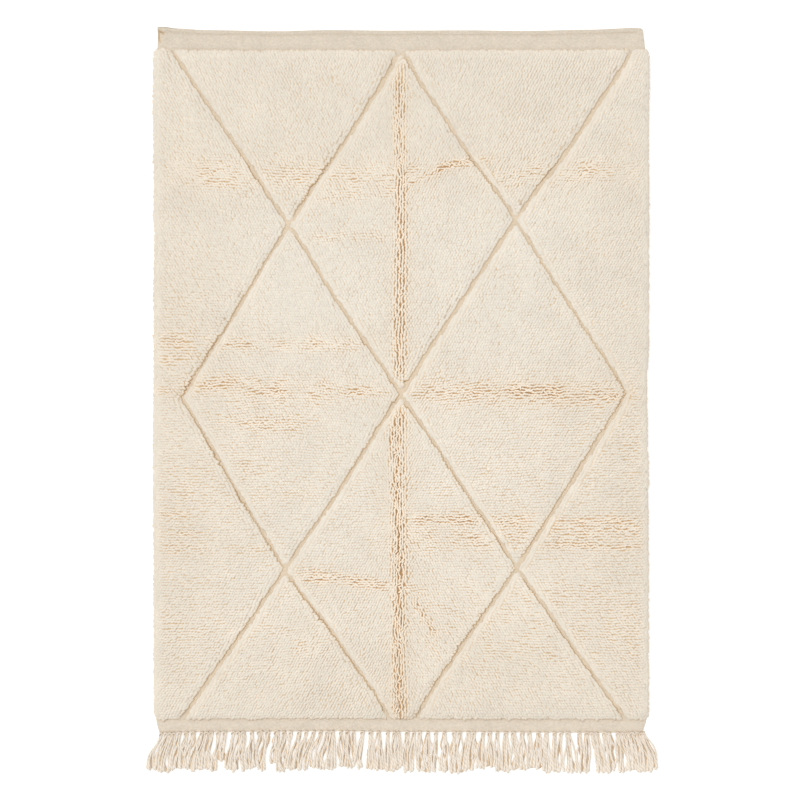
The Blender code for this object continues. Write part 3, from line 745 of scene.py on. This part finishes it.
def spacing(side):
    """How far apart the knots lie, measured straight across a side."""
    return max(KNOT_PITCH * abs(side.inwards.x), ROW_PITCH * abs(side.inwards.y))


def inset(sides, spare):
    """The corners of a field moved in, by the distance for each kind of side less a share of the spacing."""
    lines = []
    for side in sides:
        run = (side.end - side.start).normalized() * 2
        shift = side.inwards * (INSET[side.kind] - spare * spacing(side))
        lines.append((side.start + shift - run, side.end + shift + run))
    return [intersect_line_line_2d(*lines[i - 1], *lines[i]) for i in range(len(lines))]


def within(loop, points):
    """Which points lie inside a closed loop."""
    hit = np.zeros(len(points), bool)
    for a, b in zip(loop, loop[1:] + loop[:1]):
        crosses = (a.y > points[:, 1]) != (b.y > points[:, 1])
        rise = (b.y - a.y) or 1e-12
        hit ^= crosses & (points[:, 0] < a.x + (b.x - a.x) * (points[:, 1] - a.y) / rise)
    return hit


print("insets in mm", {kind: round(width / MM, 1) for kind, width in INSET.items()})

# %% A grid of knots, slightly shaken
KNOT_AREA, KNOT_START = (1.7, 2.3), (-0.85, -1.1)  # the grid's size and its first corner
PILE_HALF = (0.8, 1.1)  # about half the pile's own width and length
SHAKE, RIM_SHAKE = 0.0010, 0.0009  # how far each knot strays by chance, and how much further near the rim
ROW_WAVE = 0.0024  # how far rows and columns wander from straight lines


def waves(points, size, seed):
    """Smooth noise from -1 to 1 at each point."""
    return np.array([noise.noise(Vector((x / size, y / size, seed))) for x, y in points])


def combed_at(points):
    """From 0 in the middle of the rug to 1 near its sides and ends, where use combs the pile outwards."""
    return np.clip(((np.abs(points) / PILE_HALF).max(axis=1) - 0.5) / 0.4, 0, 1)


rng = np.random.default_rng(11)
rows, columns = int(KNOT_AREA[1] / ROW_PITCH), int(KNOT_AREA[0] / KNOT_PITCH)
row, column = np.mgrid[0:rows, 0:columns]
row_of, column_of = row.ravel(), column.ravel()
shift = 0.5 * (row % 2) + rng.uniform(-0.1, 0.1, (rows, 1))
knots = np.stack([(column + shift) * KNOT_PITCH, row * ROW_PITCH], axis=-1).reshape(-1, 2) + KNOT_START
knots += rng.uniform(-SHAKE, SHAKE, knots.shape)
knots += rng.uniform(-RIM_SHAKE, RIM_SHAKE, knots.shape) * combed_at(knots)[:, None]
knots[:, 0] += ROW_WAVE * waves(knots, 0.06, 3.0)
knots[:, 1] += ROW_WAVE * waves(knots, 0.08, 5.0)
print(len(knots), "points before they are shared out between the fields")

# %% [markdown]
# ## The rims of the pile
# Towards a groove the pile has to end. On the groove's left the tufts stand almost upright to the last row
# and drop steeply, which makes a sharp, jagged edge. On its right they lean over towards the groove and
# face the light, and there they are painted paler, as painted light. The selvedges and the two ends are a
# bit lower. Each kind of rim is a row in a table: its width, how far its tufts lean and how steeply that
# grows, how much lower they are and how steeply, and how much paler they are painted, which is painted
# light on a groove's right. The last tufts are drawn together into an even line.

# %% How the pile falls off at its rims
TUFT_SPARE = 0.42  # tufts up to this share of a knot outside the inset line are kept, and drawn inside
CROWDED = 4.5  # so many knots from the line, the tufts stand where they were tied
SLOPE = 0.024  # the pile comes down to a groove over this width
Rim = namedtuple("Rim", "width lean lean_power drop drop_power lit")
RIMS = {
    "right": Rim(0.75 * SLOPE, 0.0074, 1.3, 0.72, 1.5, 1.0),
    "left": Rim(SLOPE, 0.0010, 2, 0.55, 2.4, 0.0),
    "selvedge": Rim(SLOPE, 0.0004, 1, 0.30, 1.5, 0.8),
    "hem": Rim(SLOPE, 0.0, 1, 0.46, 1.6, 0.4),
    "fringe": Rim(SLOPE, 0.0, 1, 0.46, 1.6, 0.4),
}


def lined_up(sides, points):
    """Points drawn in behind the inset lines, closer together there, so that the rim is even and dense."""
    for side in sides:
        away, _, _ = along_line((side.start, side.end), points)
        before = (away - INSET[side.kind]) / spacing(side)
        after = np.interp(before, (-TUFT_SPARE, 0.0, 0.6, CROWDED), (0.0, 0.14, 0.46, CROWDED))
        move = np.where(before < CROWDED, after - before, 0) * spacing(side)
        points = points + np.array(side.inwards) * move[:, None]
    return points


def fall_towards(sides, points):
    """How the pile falls off near the sides of a field: its lean, its share of height, how much paler it is
    painted there, as painted light where a rim faces the light, and how full the bed is."""
    lean, share = np.zeros(points.shape), np.ones(len(points))
    slope, fill = np.zeros(len(points)), np.zeros(len(points))
    for side in sides:
        facing = side.kind.split("_")[0]
        rim = RIMS[facing]
        away, _, _ = along_line((side.start, side.end), points)
        near = np.clip(1 - (away - INSET[side.kind]) / rim.width, 0, 1)
        if facing == "right":
            near *= 0.88 + 0.3 * waves(points, 0.05, 41.0)
        lean -= np.array(side.inwards) * (rim.lean * near ** rim.lean_power)[:, None]
        share *= 1 - rim.drop * near ** rim.drop_power
        slope, fill = np.maximum(slope, rim.lit * near), np.maximum(fill, near)
    return lean, share, slope, fill


print(len(RIMS), "kinds of rim")

# %% [markdown]
# ## The tufts
# A tuft is a little bundle of fibres that is tied in at the root, swells above it and closes in a rounded
# tip. Seen whole, the rug needs so many of them that only the upper half is made, the lower one being always
# hidden, with five sides and fifteen triangles. In a fold the tufts stand in ridges, narrower and turned
# along it. Towards the rug's rim they are combed outwards, and in a rim they are larger and lie along it, so
# that no gap shows behind the last row.

# %% One tuft
tuft = rod("tuft", sides=5, rings=((0.50, 1.30), (0.93, 0.68)), tip=1.0)

# %% Place the tufts of a field
TUFT_LONG, TUFT_WIDE = 0.0080, 0.0062  # half its size along and across the way it lies
ROOT = 0.002  # depth of a tuft's root in the ground
Tufts = namedtuple("Tufts", "points lean height turn long wide combed slope fold warmth")


def unit(arrows):
    """Arrows of length 1."""
    return arrows / np.maximum(np.linalg.norm(arrows, axis=1), 1e-9)[:, None]


def blend(from_way, to_way, share):
    """Directions turned from one to another, the short way round, as a tuft's two ends are alike."""
    same = np.sign((from_way * to_way).sum(axis=1) + 1e-9)[:, None]
    share = np.clip(share, 0, 1)[:, None]
    return from_way * (1 - share) + to_way * same * share


def place_tufts(field):
    """Where the tufts of a field stand, and for each its lean, height, long direction and half sizes."""
    sides = sides_of(field)
    inside = within(inset(sides, TUFT_SPARE), knots)
    points = lined_up(sides, knots[inside])
    count = len(points)
    lean, share, slope, fill = fall_towards(sides, points)

    # How ruffled each tuft is, and the ridge it belongs to: a column of knots in a fold that runs along the
    # rug, and a row in one that runs across.
    fold, ways, halo_shade = ruffle(np.array([hand_woven(x, y) for x, y in points]))
    patchy = 1.0 + 0.3 * waves(points, 0.02, 21.0) + 0.9 * np.abs(ways[:, 0]) * waves(points, 0.06, 23.0)
    fold = np.clip(fold * patchy, 0, 1.2) * (1 - 0.7 * slope)
    across = np.stack([-ways[:, 1], ways[:, 0]], axis=-1)
    upright = np.abs(ways[:, 1]) > np.abs(ways[:, 0])
    ridge = np.where(upright, column_of[inside], row_of[inside])
    run = np.where(upright, points[:, 1], points[:, 0])

    # The ridges wander and meander, and columns lose the half knot between their rows.
    wander = 1.3 * waves(np.stack([run, ridge * 0.19], axis=-1), 0.026, 35.0) * fold
    meander = 0.0030 * waves(points, 0.035, 31.0) + 0.0012 * waves(points, 0.014, 33.0)
    meander = meander * np.clip(fold * 1.4, 0, 1)
    points = points + across * (meander + 0.0022 * wander)[:, None]
    points[:, 0] -= 0.5 * KNOT_PITCH * (row_of[inside] % 2) * upright * np.clip(1.6 * fold, 0, 1)

    # Lean and height: each by chance, by the comb of use, and by the ridge.
    combed = combed_at(points)
    own_lean = 0.0018 * np.stack([waves(points, 0.12, 7.0), waves(points, 0.12, 8.0)], axis=-1)
    own_lean += points * (0.0026 + 0.0025 * combed)[:, None] + rng.normal(0, 0.0005, (count, 2))
    lean += own_lean * (1 - fill)[:, None]
    lean += across * (0.0020 * wander)[:, None]
    height = (PILE - ground_at(points[:, 1])) * share + rng.normal(0, 0.0003, count)
    height += ROOT + 0.0012 * waves(points, 0.11, 1.0) * np.clip(2 * share - 1, 0, 1)
    height += 0.0014 * np.clip(fold, 0, 1) * (1 + wander)

    # The way it lies: outwards from the middle, but along a fold, and along a rim.
    way = blend(unit(points + [1e-4, 0.35]), ways, fold / 0.7)
    way = blend(way, unit(lean)[:, ::-1] * [-1, 1], (slope - 0.2) / 0.4)
    turn = np.arctan2(way[:, 1], way[:, 0]) + rng.normal(0, 0.2, count) * (1 + fold)
    long = TUFT_LONG * rng.normal(1, 0.05, count) * (1 + 0.10 * fold + 0.25 * combed + 0.26 * fill)
    wide = TUFT_WIDE * rng.normal(1, 0.05, count) * (1 - 0.43 * fold - 0.08 * combed) * (1 + 0.32 * fill)
    # Warmer and more tan: painted warm shade in the gaps beside a fold's ridges and in a wide band round each
    # fold; warmer also towards the rug's rim and at the last rows of a lit rim.
    warmth = 0.06 * np.clip(-wander, 0, 1) + 0.07 * halo_shade + 0.04 * combed + 0.05 * slope ** 3
    return Tufts(points, lean, height, turn, long, wide, combed, slope, fold, warmth)


print("a tuft is", 2 * TUFT_LONG / MM, "by", 2 * TUFT_WIDE / MM, "mm")

# %% Make the pile of one field
def pile_field(name, field):
    """The pile of one field, as one piece, and how many tufts it has."""
    tufts = place_tufts(field)
    count = len(tufts.points)
    mesh, co = copies(tuft, count)
    spin = rng.uniform(0, math.tau, count)[:, None]
    x = (co[..., 0] * np.cos(spin) - co[..., 1] * np.sin(spin)) * tufts.long[:, None]
    y = (co[..., 0] * np.sin(spin) + co[..., 1] * np.cos(spin)) * tufts.wide[:, None]
    up = co[..., 2]
    bend = 0.35 * up + 0.65 * up * up
    ground = np.array([on_cloth(px, py) for px, py in tufts.points])
    turn = tufts.turn[:, None]
    placed = np.stack([
        x * np.cos(turn) - y * np.sin(turn) + tufts.lean[:, :1] * bend + ground[:, :1],
        x * np.sin(turn) + y * np.cos(turn) + tufts.lean[:, 1:] * bend + ground[:, 1:],
        (ground_at(tufts.points[:, 1]) - ROOT)[:, None] + up * tufts.height[:, None],
    ], axis=-1)
    placed += rng.normal(0, 0.00025, placed.shape)
    # Each tuft's tone varies by chance and is a little darker towards the rug's rim. Painted highlight:
    # lighter on the ridges of a fold. The last rows of a lit rim are a little darker, so that they fade into
    # the groove.
    tones = np.clip(rng.normal(1.0, 0.018, count), 0.94, 1.05)
    tones = tones - 0.02 * tufts.combed + 0.14 * tufts.fold - 0.035 * tufts.slope ** 3
    # Painted shade: lower down each tuft its colour runs to the painted tan; in a fold it reaches further up,
    # and on a rim that faces the light less far, as painted light.
    painted_shade_reach = np.clip(1 - 1.2 * tufts.slope, 0.30, 1) * (1.35 + 2.6 * tufts.fold)
    painted_lightness = np.clip(1 - np.clip(0.93 - up, 0, 1) * painted_shade_reach[:, None], 0, 1)
    print(name, count, "tufts")
    piece = lay_copies(
        "pile_" + name, mesh, placed, (TUFT_LONG, tufts.height), pile_wool, "pile_wool",
        tone=np.repeat(tones, co.shape[1]), along=painted_lightness * (1 - tufts.warmth)[:, None],
    )
    return piece, count


pile, knots_tied = [], 0
for name, field in FIELDS.items():
    piece, count = pile_field(name, field)
    pile.append(piece)
    knots_tied += count
print(knots_tied, "tufts in all")

# %% [markdown]
# ## The wool between the tufts
# Deep in the pile the fibres of neighbouring tufts mingle, so the eye never sees down to the ground between
# two tips. Modelling those fibres would take millions of hairs. A soft bed of wool at about two thirds of
# the pile's height does the same job: it closes the gaps, and its tan colour is painted warm shade for them.
# It dips in the folds, where its colour is painted warmer and darker, and is fuller towards the rims, where
# it is paler, most of all as painted light on rims that face the light. Its own rim hangs down to the ground
# as a skirt, painted pale to lighten the shade at the pile's edges.

# %% The flat bed of one field
BED_STEP = 0.018  # spacing of its points
BED_SPARE = 2.2  # before it is trimmed, it is this many knots too wide


def bed_of(bm, field):
    """Adds the flat bed of one field to a mesh, as a grid trimmed to the field, and gives its points."""
    loop = inset(sides_of(field), BED_SPARE)
    low = Vector((min(p.x for p in loop), min(p.y for p in loop)))
    high = Vector((max(p.x for p in loop), max(p.y for p in loop)))
    steps = [max(2, round(side / BED_STEP)) for side in high - low]
    grid = bmesh.ops.create_grid(bm, x_segments=steps[0], y_segments=steps[1], size=0.5)["verts"]
    bmesh.ops.scale(bm, vec=(*(high - low), 1.0), verts=grid)
    bmesh.ops.translate(bm, vec=(*((low + high) / 2), 0.0), verts=grid)
    inside = within(loop, np.array([vert.co.xy for vert in grid]))
    bmesh.ops.delete(bm, geom=[vert for vert, there in zip(grid, inside) if not there], context="VERTS")
    return [vert for vert, there in zip(grid, inside) if there]


print("bed's points are", BED_STEP / MM, "mm apart")

# %% Make the bed
bm = bmesh.new()
light = bm.verts.layers.float.new("along")
beds = {name: bed_of(bm, field) for name, field in FIELDS.items()}
for name, verts in beds.items():
    verts = [vert for vert in verts if vert.is_valid and vert.link_faces]
    sides = sides_of(FIELDS[name])
    points = np.array([vert.co.xy for vert in verts])
    rim_line = inset(sides, 0.0)
    _, _, on_rim = along_line(rim_line + rim_line[:1], points)
    points = np.where(within(rim_line, points)[:, None], points, on_rim)
    _, share, slope, fill = fall_towards(sides, points)
    fold, _, _ = ruffle(np.array([hand_woven(x, y) for x, y in points]))
    fold, combed, ground = np.clip(fold, 0, 1), combed_at(points), ground_at(points[:, 1])
    rise = np.minimum(0.66 - 0.30 * fold + 0.32 * fill + 0.09 * combed, 0.95)
    heights = ground + (PILE - ground) * share * rise
    # Painted shade: the bed's colour runs to the painted tan, darker and warmer in the folds and paler near
    # the rims, most as painted light where a rim faces the light.
    painted_lightness = 0.55 + 0.08 * combed + 0.12 * fill + 0.22 * slope ** 0.5 - 0.36 * fold
    for vert, point, height, near in zip(verts, points, heights, painted_lightness):
        vert.co = (*on_cloth(*point), height)
        vert[light] = near
bmesh.ops.remove_doubles(bm, verts=bm.verts, dist=0.0004)
loose = [vert for vert in bm.verts if not vert.link_faces]
bmesh.ops.delete(bm, geom=loose, context="VERTS")
rim = [edge for edge in bm.edges if edge.is_boundary]
skirt = bmesh.ops.extrude_edge_only(bm, edges=rim)["geom"]
for vert in (item for item in skirt if isinstance(item, bmesh.types.BMVert)):
    vert.co.z = GROUND - 0.0008
    # Painted light: the skirt is painted pale to lighten the shade at the pile's edge.
    vert[light] = 0.92
bmesh.ops.recalc_face_normals(bm, faces=bm.faces)
for map_name, size in (("OFBake", 0.4), ("strands", 1.0)):
    layer = bm.loops.layers.uv.new(map_name)
    for face in bm.faces:
        for loop in face.loops:
            loop[layer].uv = (loop.vert.co.xy - cloth_low.xy) * size
mesh = smooth_mesh(bm, "pile_bed")
set_attribute(mesh, "tone", np.ones(len(mesh.vertices)))
bed = new_piece("pile_bed", mesh, pile_wool)
print("bed", len(mesh.polygons), "faces")

# %% [markdown]
# ## The fringe
# The warp yarns leave the cloth in small bundles, each knotted close to the edge, and fan out to a wavy
# skirt of tips. The table says where each bundle stands, how wide it is there, between which two places its
# outer yarns end, and how far they reach. The yarns lie on the floor, some of them across a neighbour. Two
# in each bundle lie lowest, in the shade of the others, and are painted tan for that shade; every yarn is
# also painted darker near the cloth, as painted shade.

# %% The bundles, in millimetres from left to right
BUNDLES = table(
    "Bundle", "root wide left right reach",
    (-777, 11, -824, -805, 119), (-761, 12, -804, -787, 121), (-748, 11, -785, -770, 128),
    (-735, 11, -768, -752, 128), (-717, 13, -748, -733, 122), (-696, 15, -728, -709, 119),
    (-673, 18, -706, -693, 119), (-645, 13, -688, -662, 125), (-629, 14, -659, -640, 121),
    (-614, 14, -638, -621, 121), (-592, 16, -616, -600, 129), (-571, 16, -595, -577, 94),
    (-543, 14, -567, -555, 121), (-526, 13, -553, -538, 128), (-511, 13, -535, -503, 127),
    (-484, 12, -499, -482, 119), (-457, 21, -476, -459, 119), (-432, 20, -457, -444, 128),
    (-403, 18, -421, -403, 102), (-379, 12, -400, -381, 131), (-358, 13, -379, -367, 122),
    (-330, 15, -365, -346, 125), (-307, 13, -345, -325, 126), (-283, 14, -322, -305, 126),
    (-260, 16, -303, -273, 118), (-239, 15, -267, -249, 124), (-222, 14, -240, -217, 124),
    (-195, 13, -203, -187, 115), (-174, 13, -179, -160, 118), (-154, 11, -156, -147, 100),
    (-125, 15, -144, -131, 120), (-98, 15, -108, -89, 123), (-73, 14, -86, -57, 125),
    (-43, 12, -51, -35, 130), (-21, 13, -33, -14, 128), (-8, 10, -12, -1, 117), (20, 17, 4, 19, 131),
    (42, 12, 21, 41, 128), (61, 13, 51, 70, 126), (87, 13, 76, 95, 132), (113, 14, 97, 118, 129),
    (140, 13, 128, 156, 129), (172, 17, 159, 175, 132), (191, 15, 177, 192, 134), (219, 14, 194, 217, 124),
    (237, 13, 220, 241, 122), (266, 15, 252, 272, 118), (287, 14, 275, 306, 113), (312, 12, 308, 325, 127),
    (340, 15, 327, 354, 129), (364, 15, 357, 377, 122), (393, 15, 380, 408, 123), (416, 13, 412, 430, 116),
    (445, 13, 434, 456, 119), (471, 13, 463, 482, 130), (498, 13, 490, 503, 126), (519, 15, 505, 515, 130),
    (541, 18, 530, 571, 132), (578, 15, 580, 593, 130), (602, 16, 595, 610, 130), (620, 12, 635, 648, 129),
    (636, 12, 650, 662, 129), (660, 18, 664, 685, 130), (677, 7, 688, 696, 116), (703, 16, 704, 729, 129),
    (719, 10, 735, 749, 123), (734, 14, 751, 766, 124), (749, 14, 768, 782, 129), (765, 14, 784, 799, 129),
    (778, 9, 801, 815, 130), (787, 6, 818, 832, 119),
)
print(len(BUNDLES), "bundles")

# %% Lay out the yarns
fringe_points = sorted(p for p in outline if abs(p[1] - FRINGE_EDGE) < 0.01)
edge_x, edge_y = np.array(fringe_points).T
YARN_RADIUS = 0.0034
YARN_ROOM = 7.2  # one yarn for this many millimetres of a bundle's width
TIP_SPARE = 4  # the outer tips lie this many millimetres further out
LOWEST = [(0.3, 0.35, 0.0), (0.7, 0.65, 0.0)]  # share of the width at the root and tip, and the level
Yarn = namedtuple("Yarn", "root tip reach level sway phase tone bow")
yarns = []
for bundle in BUNDLES:
    tip_width = bundle.right - bundle.left + 2 * TIP_SPARE
    count = max(2, min(4, round(max(bundle.wide, tip_width) / YARN_ROOM)))
    shares = [(i + 0.5) / count for i in range(count)]
    tip_shares = list(rng.permutation(shares)) if rng.uniform() < 0.6 else shares
    upper_yarns = [(share, tip, 1.0) for share, tip in zip(shares, tip_shares)]
    for share, tip_share, level in upper_yarns + LOWEST:
        yarns.append(Yarn(
            root=(bundle.root + (share - 0.5) * bundle.wide * 0.75) * MM,
            tip=(bundle.left - TIP_SPARE + tip_share * tip_width) * MM + rng.normal(0, 0.0010),
            reach=(bundle.reach + 2 - 45 * (tip_share - 0.5) ** 2 - 4 * (1 - level)) * MM
            + rng.normal(0, 0.0012),
            level=level * rng.uniform(0.5, 1.2), sway=rng.normal(0, 0.0045), phase=rng.uniform(0, math.tau),
            # Painted shade: the lowest yarns get low, tan tones.
            tone=rng.uniform(0.88, 1.0) if level else rng.uniform(0.34, 0.62), bow=(share - 0.5) * 0.006,
        ))
print(len(yarns), "yarns")

# %% Make the yarns
RINGS = 15
TIP_RINGS = [(0.970, 0.86), (0.990, 0.55)]
yarn_rod = rod("yarn", sides=6, rings=[(i / RINGS, 1.0) for i in range(RINGS)] + TIP_RINGS, tip=1.0)
mesh, co = copies(yarn_rod, len(yarns))
yarn = Yarn(*[np.array(values)[:, None] for values in zip(*yarns)])
down = co[..., 2]  # 0 at the cloth, 1 at the tip
fan = np.minimum(down / 0.75, 1)
ease = 0.15 * down + 0.85 * fan * fan * (3 - 2 * fan)
middle_x = yarn.root + (yarn.tip - yarn.root) * ease
middle_x = middle_x + yarn.sway * np.sin(yarn.phase + down * 6.0) * np.minimum(down * 3, 1)
middle_x = middle_x + yarn.bow * np.sin(math.pi * down)
middle_y = np.interp(yarn.root, edge_x, edge_y) + 0.004 - (yarn.reach + 0.004) * down
raised = 0.0036 * yarn.level * np.minimum(down * 5, 1) * (1 - 0.25 * down)
middle_z = YARN_RADIUS * 0.9 + raised + 0.0010 * np.sin(yarn.phase * 2 + down * 8)
frayed = np.clip((down - 0.72) / 0.2, 0, 1) ** 1.5
radius = YARN_RADIUS * (0.95 + 0.10 * np.sin(yarn.phase * 3 + down * 11) + 0.10 * down + 0.55 * frayed)
placed = np.stack([
    middle_x + co[..., 0] * radius + SLIDE.x,
    middle_y + SLIDE.y,
    np.maximum(middle_z + co[..., 1] * radius, 0.0002),
], axis=-1)
# Painted shade: each yarn is darker near the cloth.
fringe = lay_copies(
    "fringe_yarns", mesh, placed, (1 / math.tau, yarn.reach[:, 0]), yarn_wool, "fringe_yarn",
    tone=yarn.tone * (1 - 0.18 * np.exp(-down / 0.10)),
)
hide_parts("fringe")
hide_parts("rug")
print("fringe", len(mesh.polygons), "faces")

# %% [markdown]
# ## Knots and stitches
# Each bundle is held at the cloth by a half hitch, a short loop of yarn laid over it like an arch. The hem is
# sewn down with a row of short running stitches in tan wool. Both are small rods laid along a path, made by
# the same copying as the tufts.

# %% Loops round the bundles
LOOP_RINGS, LOOP_RADIUS = 8, 0.0019
loop_rod = rod("loop", sides=5, rings=[(i / LOOP_RINGS, 1.0) for i in range(LOOP_RINGS)], tip=1.0)
count = len(BUNDLES)
mesh, co = copies(loop_rod, count)
turn = math.pi * (1.15 * co[..., 2] - 0.075)  # a bit more than half round
root = np.array([bundle.root * MM for bundle in BUNDLES])[:, None]
reach = np.array([bundle.wide * 0.4 + 1.2 for bundle in BUNDLES])[:, None] * MM
reach = reach * rng.uniform(0.9, 1.1, (count, 1))
away = reach + co[..., 0] * LOOP_RADIUS
placed = np.stack([
    root - away * np.cos(turn) + SLIDE.x,
    np.interp(root, edge_x, edge_y) + 1.15 * away * np.sin(turn) - 0.0045 + SLIDE.y,
    0.0088 + 0.0016 * np.sin(turn) + co[..., 1] * LOOP_RADIUS,
], axis=-1)
loops = lay_copies(
    "fringe_loops", mesh, placed, (1 / math.tau, 0.024), yarn_wool, "fringe_yarn",
    tone=np.repeat(rng.uniform(0.80, 0.98, count), co.shape[1]),
)
print("loops", len(mesh.polygons), "faces")

# %% [markdown]
# ### The sewing yarn
# The stitches are tan wool, spun thin and twisted hard, so they are darker and a bit smoother than the cloth.

# %% Finish: twisted wool sewing yarn
sewing_wool, shader = finish("twisted_wool_sewing_yarn", **{**WOOL_SHEEN, "Roughness": 0.88})
place = add(sewing_wool, "TexCoord").outputs["Object"]
fleck = add(sewing_wool, "TexNoise", {"Vector": place, "Scale": 400.0, "Detail": 2.0})
colour = add(sewing_wool, "ValToRGB", {"Fac": fleck}, {0.3: "#d8c2a3", 0.7: "#e6d7be"})
dress(sewing_wool, shader, colour, fleck, 0.6, 0.0006)

# %% Stitches along the hem
STITCH_PITCH, STITCH_LONG, STITCH_RADIUS = 0.0056, 0.0036, 0.0009
STITCH_FREE = 0.030  # no stitches this near to the cloth's sides
stitch_rod = rod("stitch", sides=5, rings=((0.0, 0.5), (0.25, 1.0), (0.75, 1.0)), tip=1.0)
count = int(2 * (HALF_WIDTH - STITCH_FREE) / STITCH_PITCH)
mesh, co = copies(stitch_rod, count)
start = -HALF_WIDTH + STITCH_FREE + STITCH_PITCH * (np.arange(count) + rng.uniform(-0.12, 0.12, count))
line = HEM_EDGE - HEM_FOLD + 0.0005 * rng.normal(0, 1, count) + 0.0008 * np.sin(start * 23)
slant = rng.uniform(0.1, 0.4, count)
ground = np.array([(*on_cloth(x, y), cloth_height(x, y)) for x, y in zip(start, line)])
along = co[..., 2]
placed = np.stack([
    ground[:, :1] + STITCH_LONG * along,
    ground[:, 1:2] + co[..., 0] * STITCH_RADIUS + slant[:, None] * STITCH_LONG * (along - 0.5),
    ground[:, 2:] + co[..., 1] * STITCH_RADIUS + 0.0006 * np.sin(np.pi * along) - 0.0002,
], axis=-1)
stitches = lay_copies(
    "hem_stitches", mesh, placed, (STITCH_RADIUS, STITCH_LONG), sewing_wool, "fringe_yarn",
)
print(count, "stitches")

# %% [markdown]
# The rug lies flat, so its flat size is its own: 1.60 by 2.28 m of ground cloth, without the fringe.

print("declared", cloth.name)

# %% [markdown]
# ## Studio
# The rug lies on a plain white floor and is seen from straight above. The light is soft and comes from the
# left and a little from the hem's side, low enough to draw each tuft. A large, even sky fills the shadows.

# %% Floor and sky
FLOOR_HALF, FLOOR_LOW = 30.0, 0.0002
floor_finish, shader = finish("matt_white_floor", Roughness=0.9, Specular_IOR_Level=0.1)
shader.inputs["Base Color"].default_value = linear("#d8d8d8")
shader.inputs["Emission Color"].default_value = linear("#ffffff")
shader.inputs["Emission Strength"].default_value = 0.5
bm = bmesh.new()
bmesh.ops.create_grid(bm, x_segments=1, y_segments=1, size=FLOOR_HALF)
floor_mesh = smooth_mesh(bm, "studio_floor")
floor_mesh.materials.append(floor_finish)
floor_mesh.transform(Matrix.Translation((0, 0, -FLOOR_LOW)))
floor = bpy.data.objects.new("studio_floor", floor_mesh)
bpy.context.collection.objects.link(floor)

sky = bpy.data.worlds.new("studio_sky")
sky.use_nodes = True
sky.node_tree.nodes["Background"].inputs["Color"].default_value = linear("#ffffff")
sky.node_tree.nodes["Background"].inputs["Strength"].default_value = 0.66
bpy.context.scene.world = sky
print("floor", 2 * FLOOR_HALF, "m wide")

# %% Key light
LIGHT_FROM = math.radians(28)  # turned this far from the left towards the hem
LIGHT_ACROSS, LIGHT_UP = 0.62, 0.78  # how much it comes from the side and from above
key = bpy.data.lights.new("key_light", "SUN")
key.energy = 1.46
key.angle = math.radians(35)
key.color = linear("#fffcf7")[:3]
key_object = bpy.data.objects.new("key_light", key)
towards = Vector((-math.cos(LIGHT_FROM), math.sin(LIGHT_FROM), 0.0)) * LIGHT_ACROSS
key_object.rotation_mode = "QUATERNION"
key_object.rotation_quaternion = (towards + Vector((0, 0, LIGHT_UP))).to_track_quat("Z", "Y")
bpy.context.collection.objects.link(key_object)
print("light", math.degrees(key.angle), "degrees wide")

# %% Camera
EYE = 3.2  # height of the camera above the pile
PIXEL = 0.003239  # metres of floor that one pixel takes in
PHOTO_SPAN = 800 * PIXEL
AIM = 0.0032  # the photograph's middle lies this far left of the cloth's
PILE_MIDDLE = 0.010  # the scale holds at half the pile's height
camera = bpy.data.cameras.new("camera")
camera.sensor_width = 36.0
camera.lens = 36.0 * EYE / PHOTO_SPAN
camera.clip_start, camera.clip_end = 0.1, 100.0
camera_object = bpy.data.objects.new("camera", camera)
camera_object.location = (SLIDE.x - AIM, SLIDE.y, EYE + PILE_MIDDLE)
bpy.context.collection.objects.link(camera_object)
bpy.context.scene.camera = camera_object
bpy.context.scene.view_settings.view_transform = "Standard"
print("camera lens", round(camera.lens, 1), "mm")
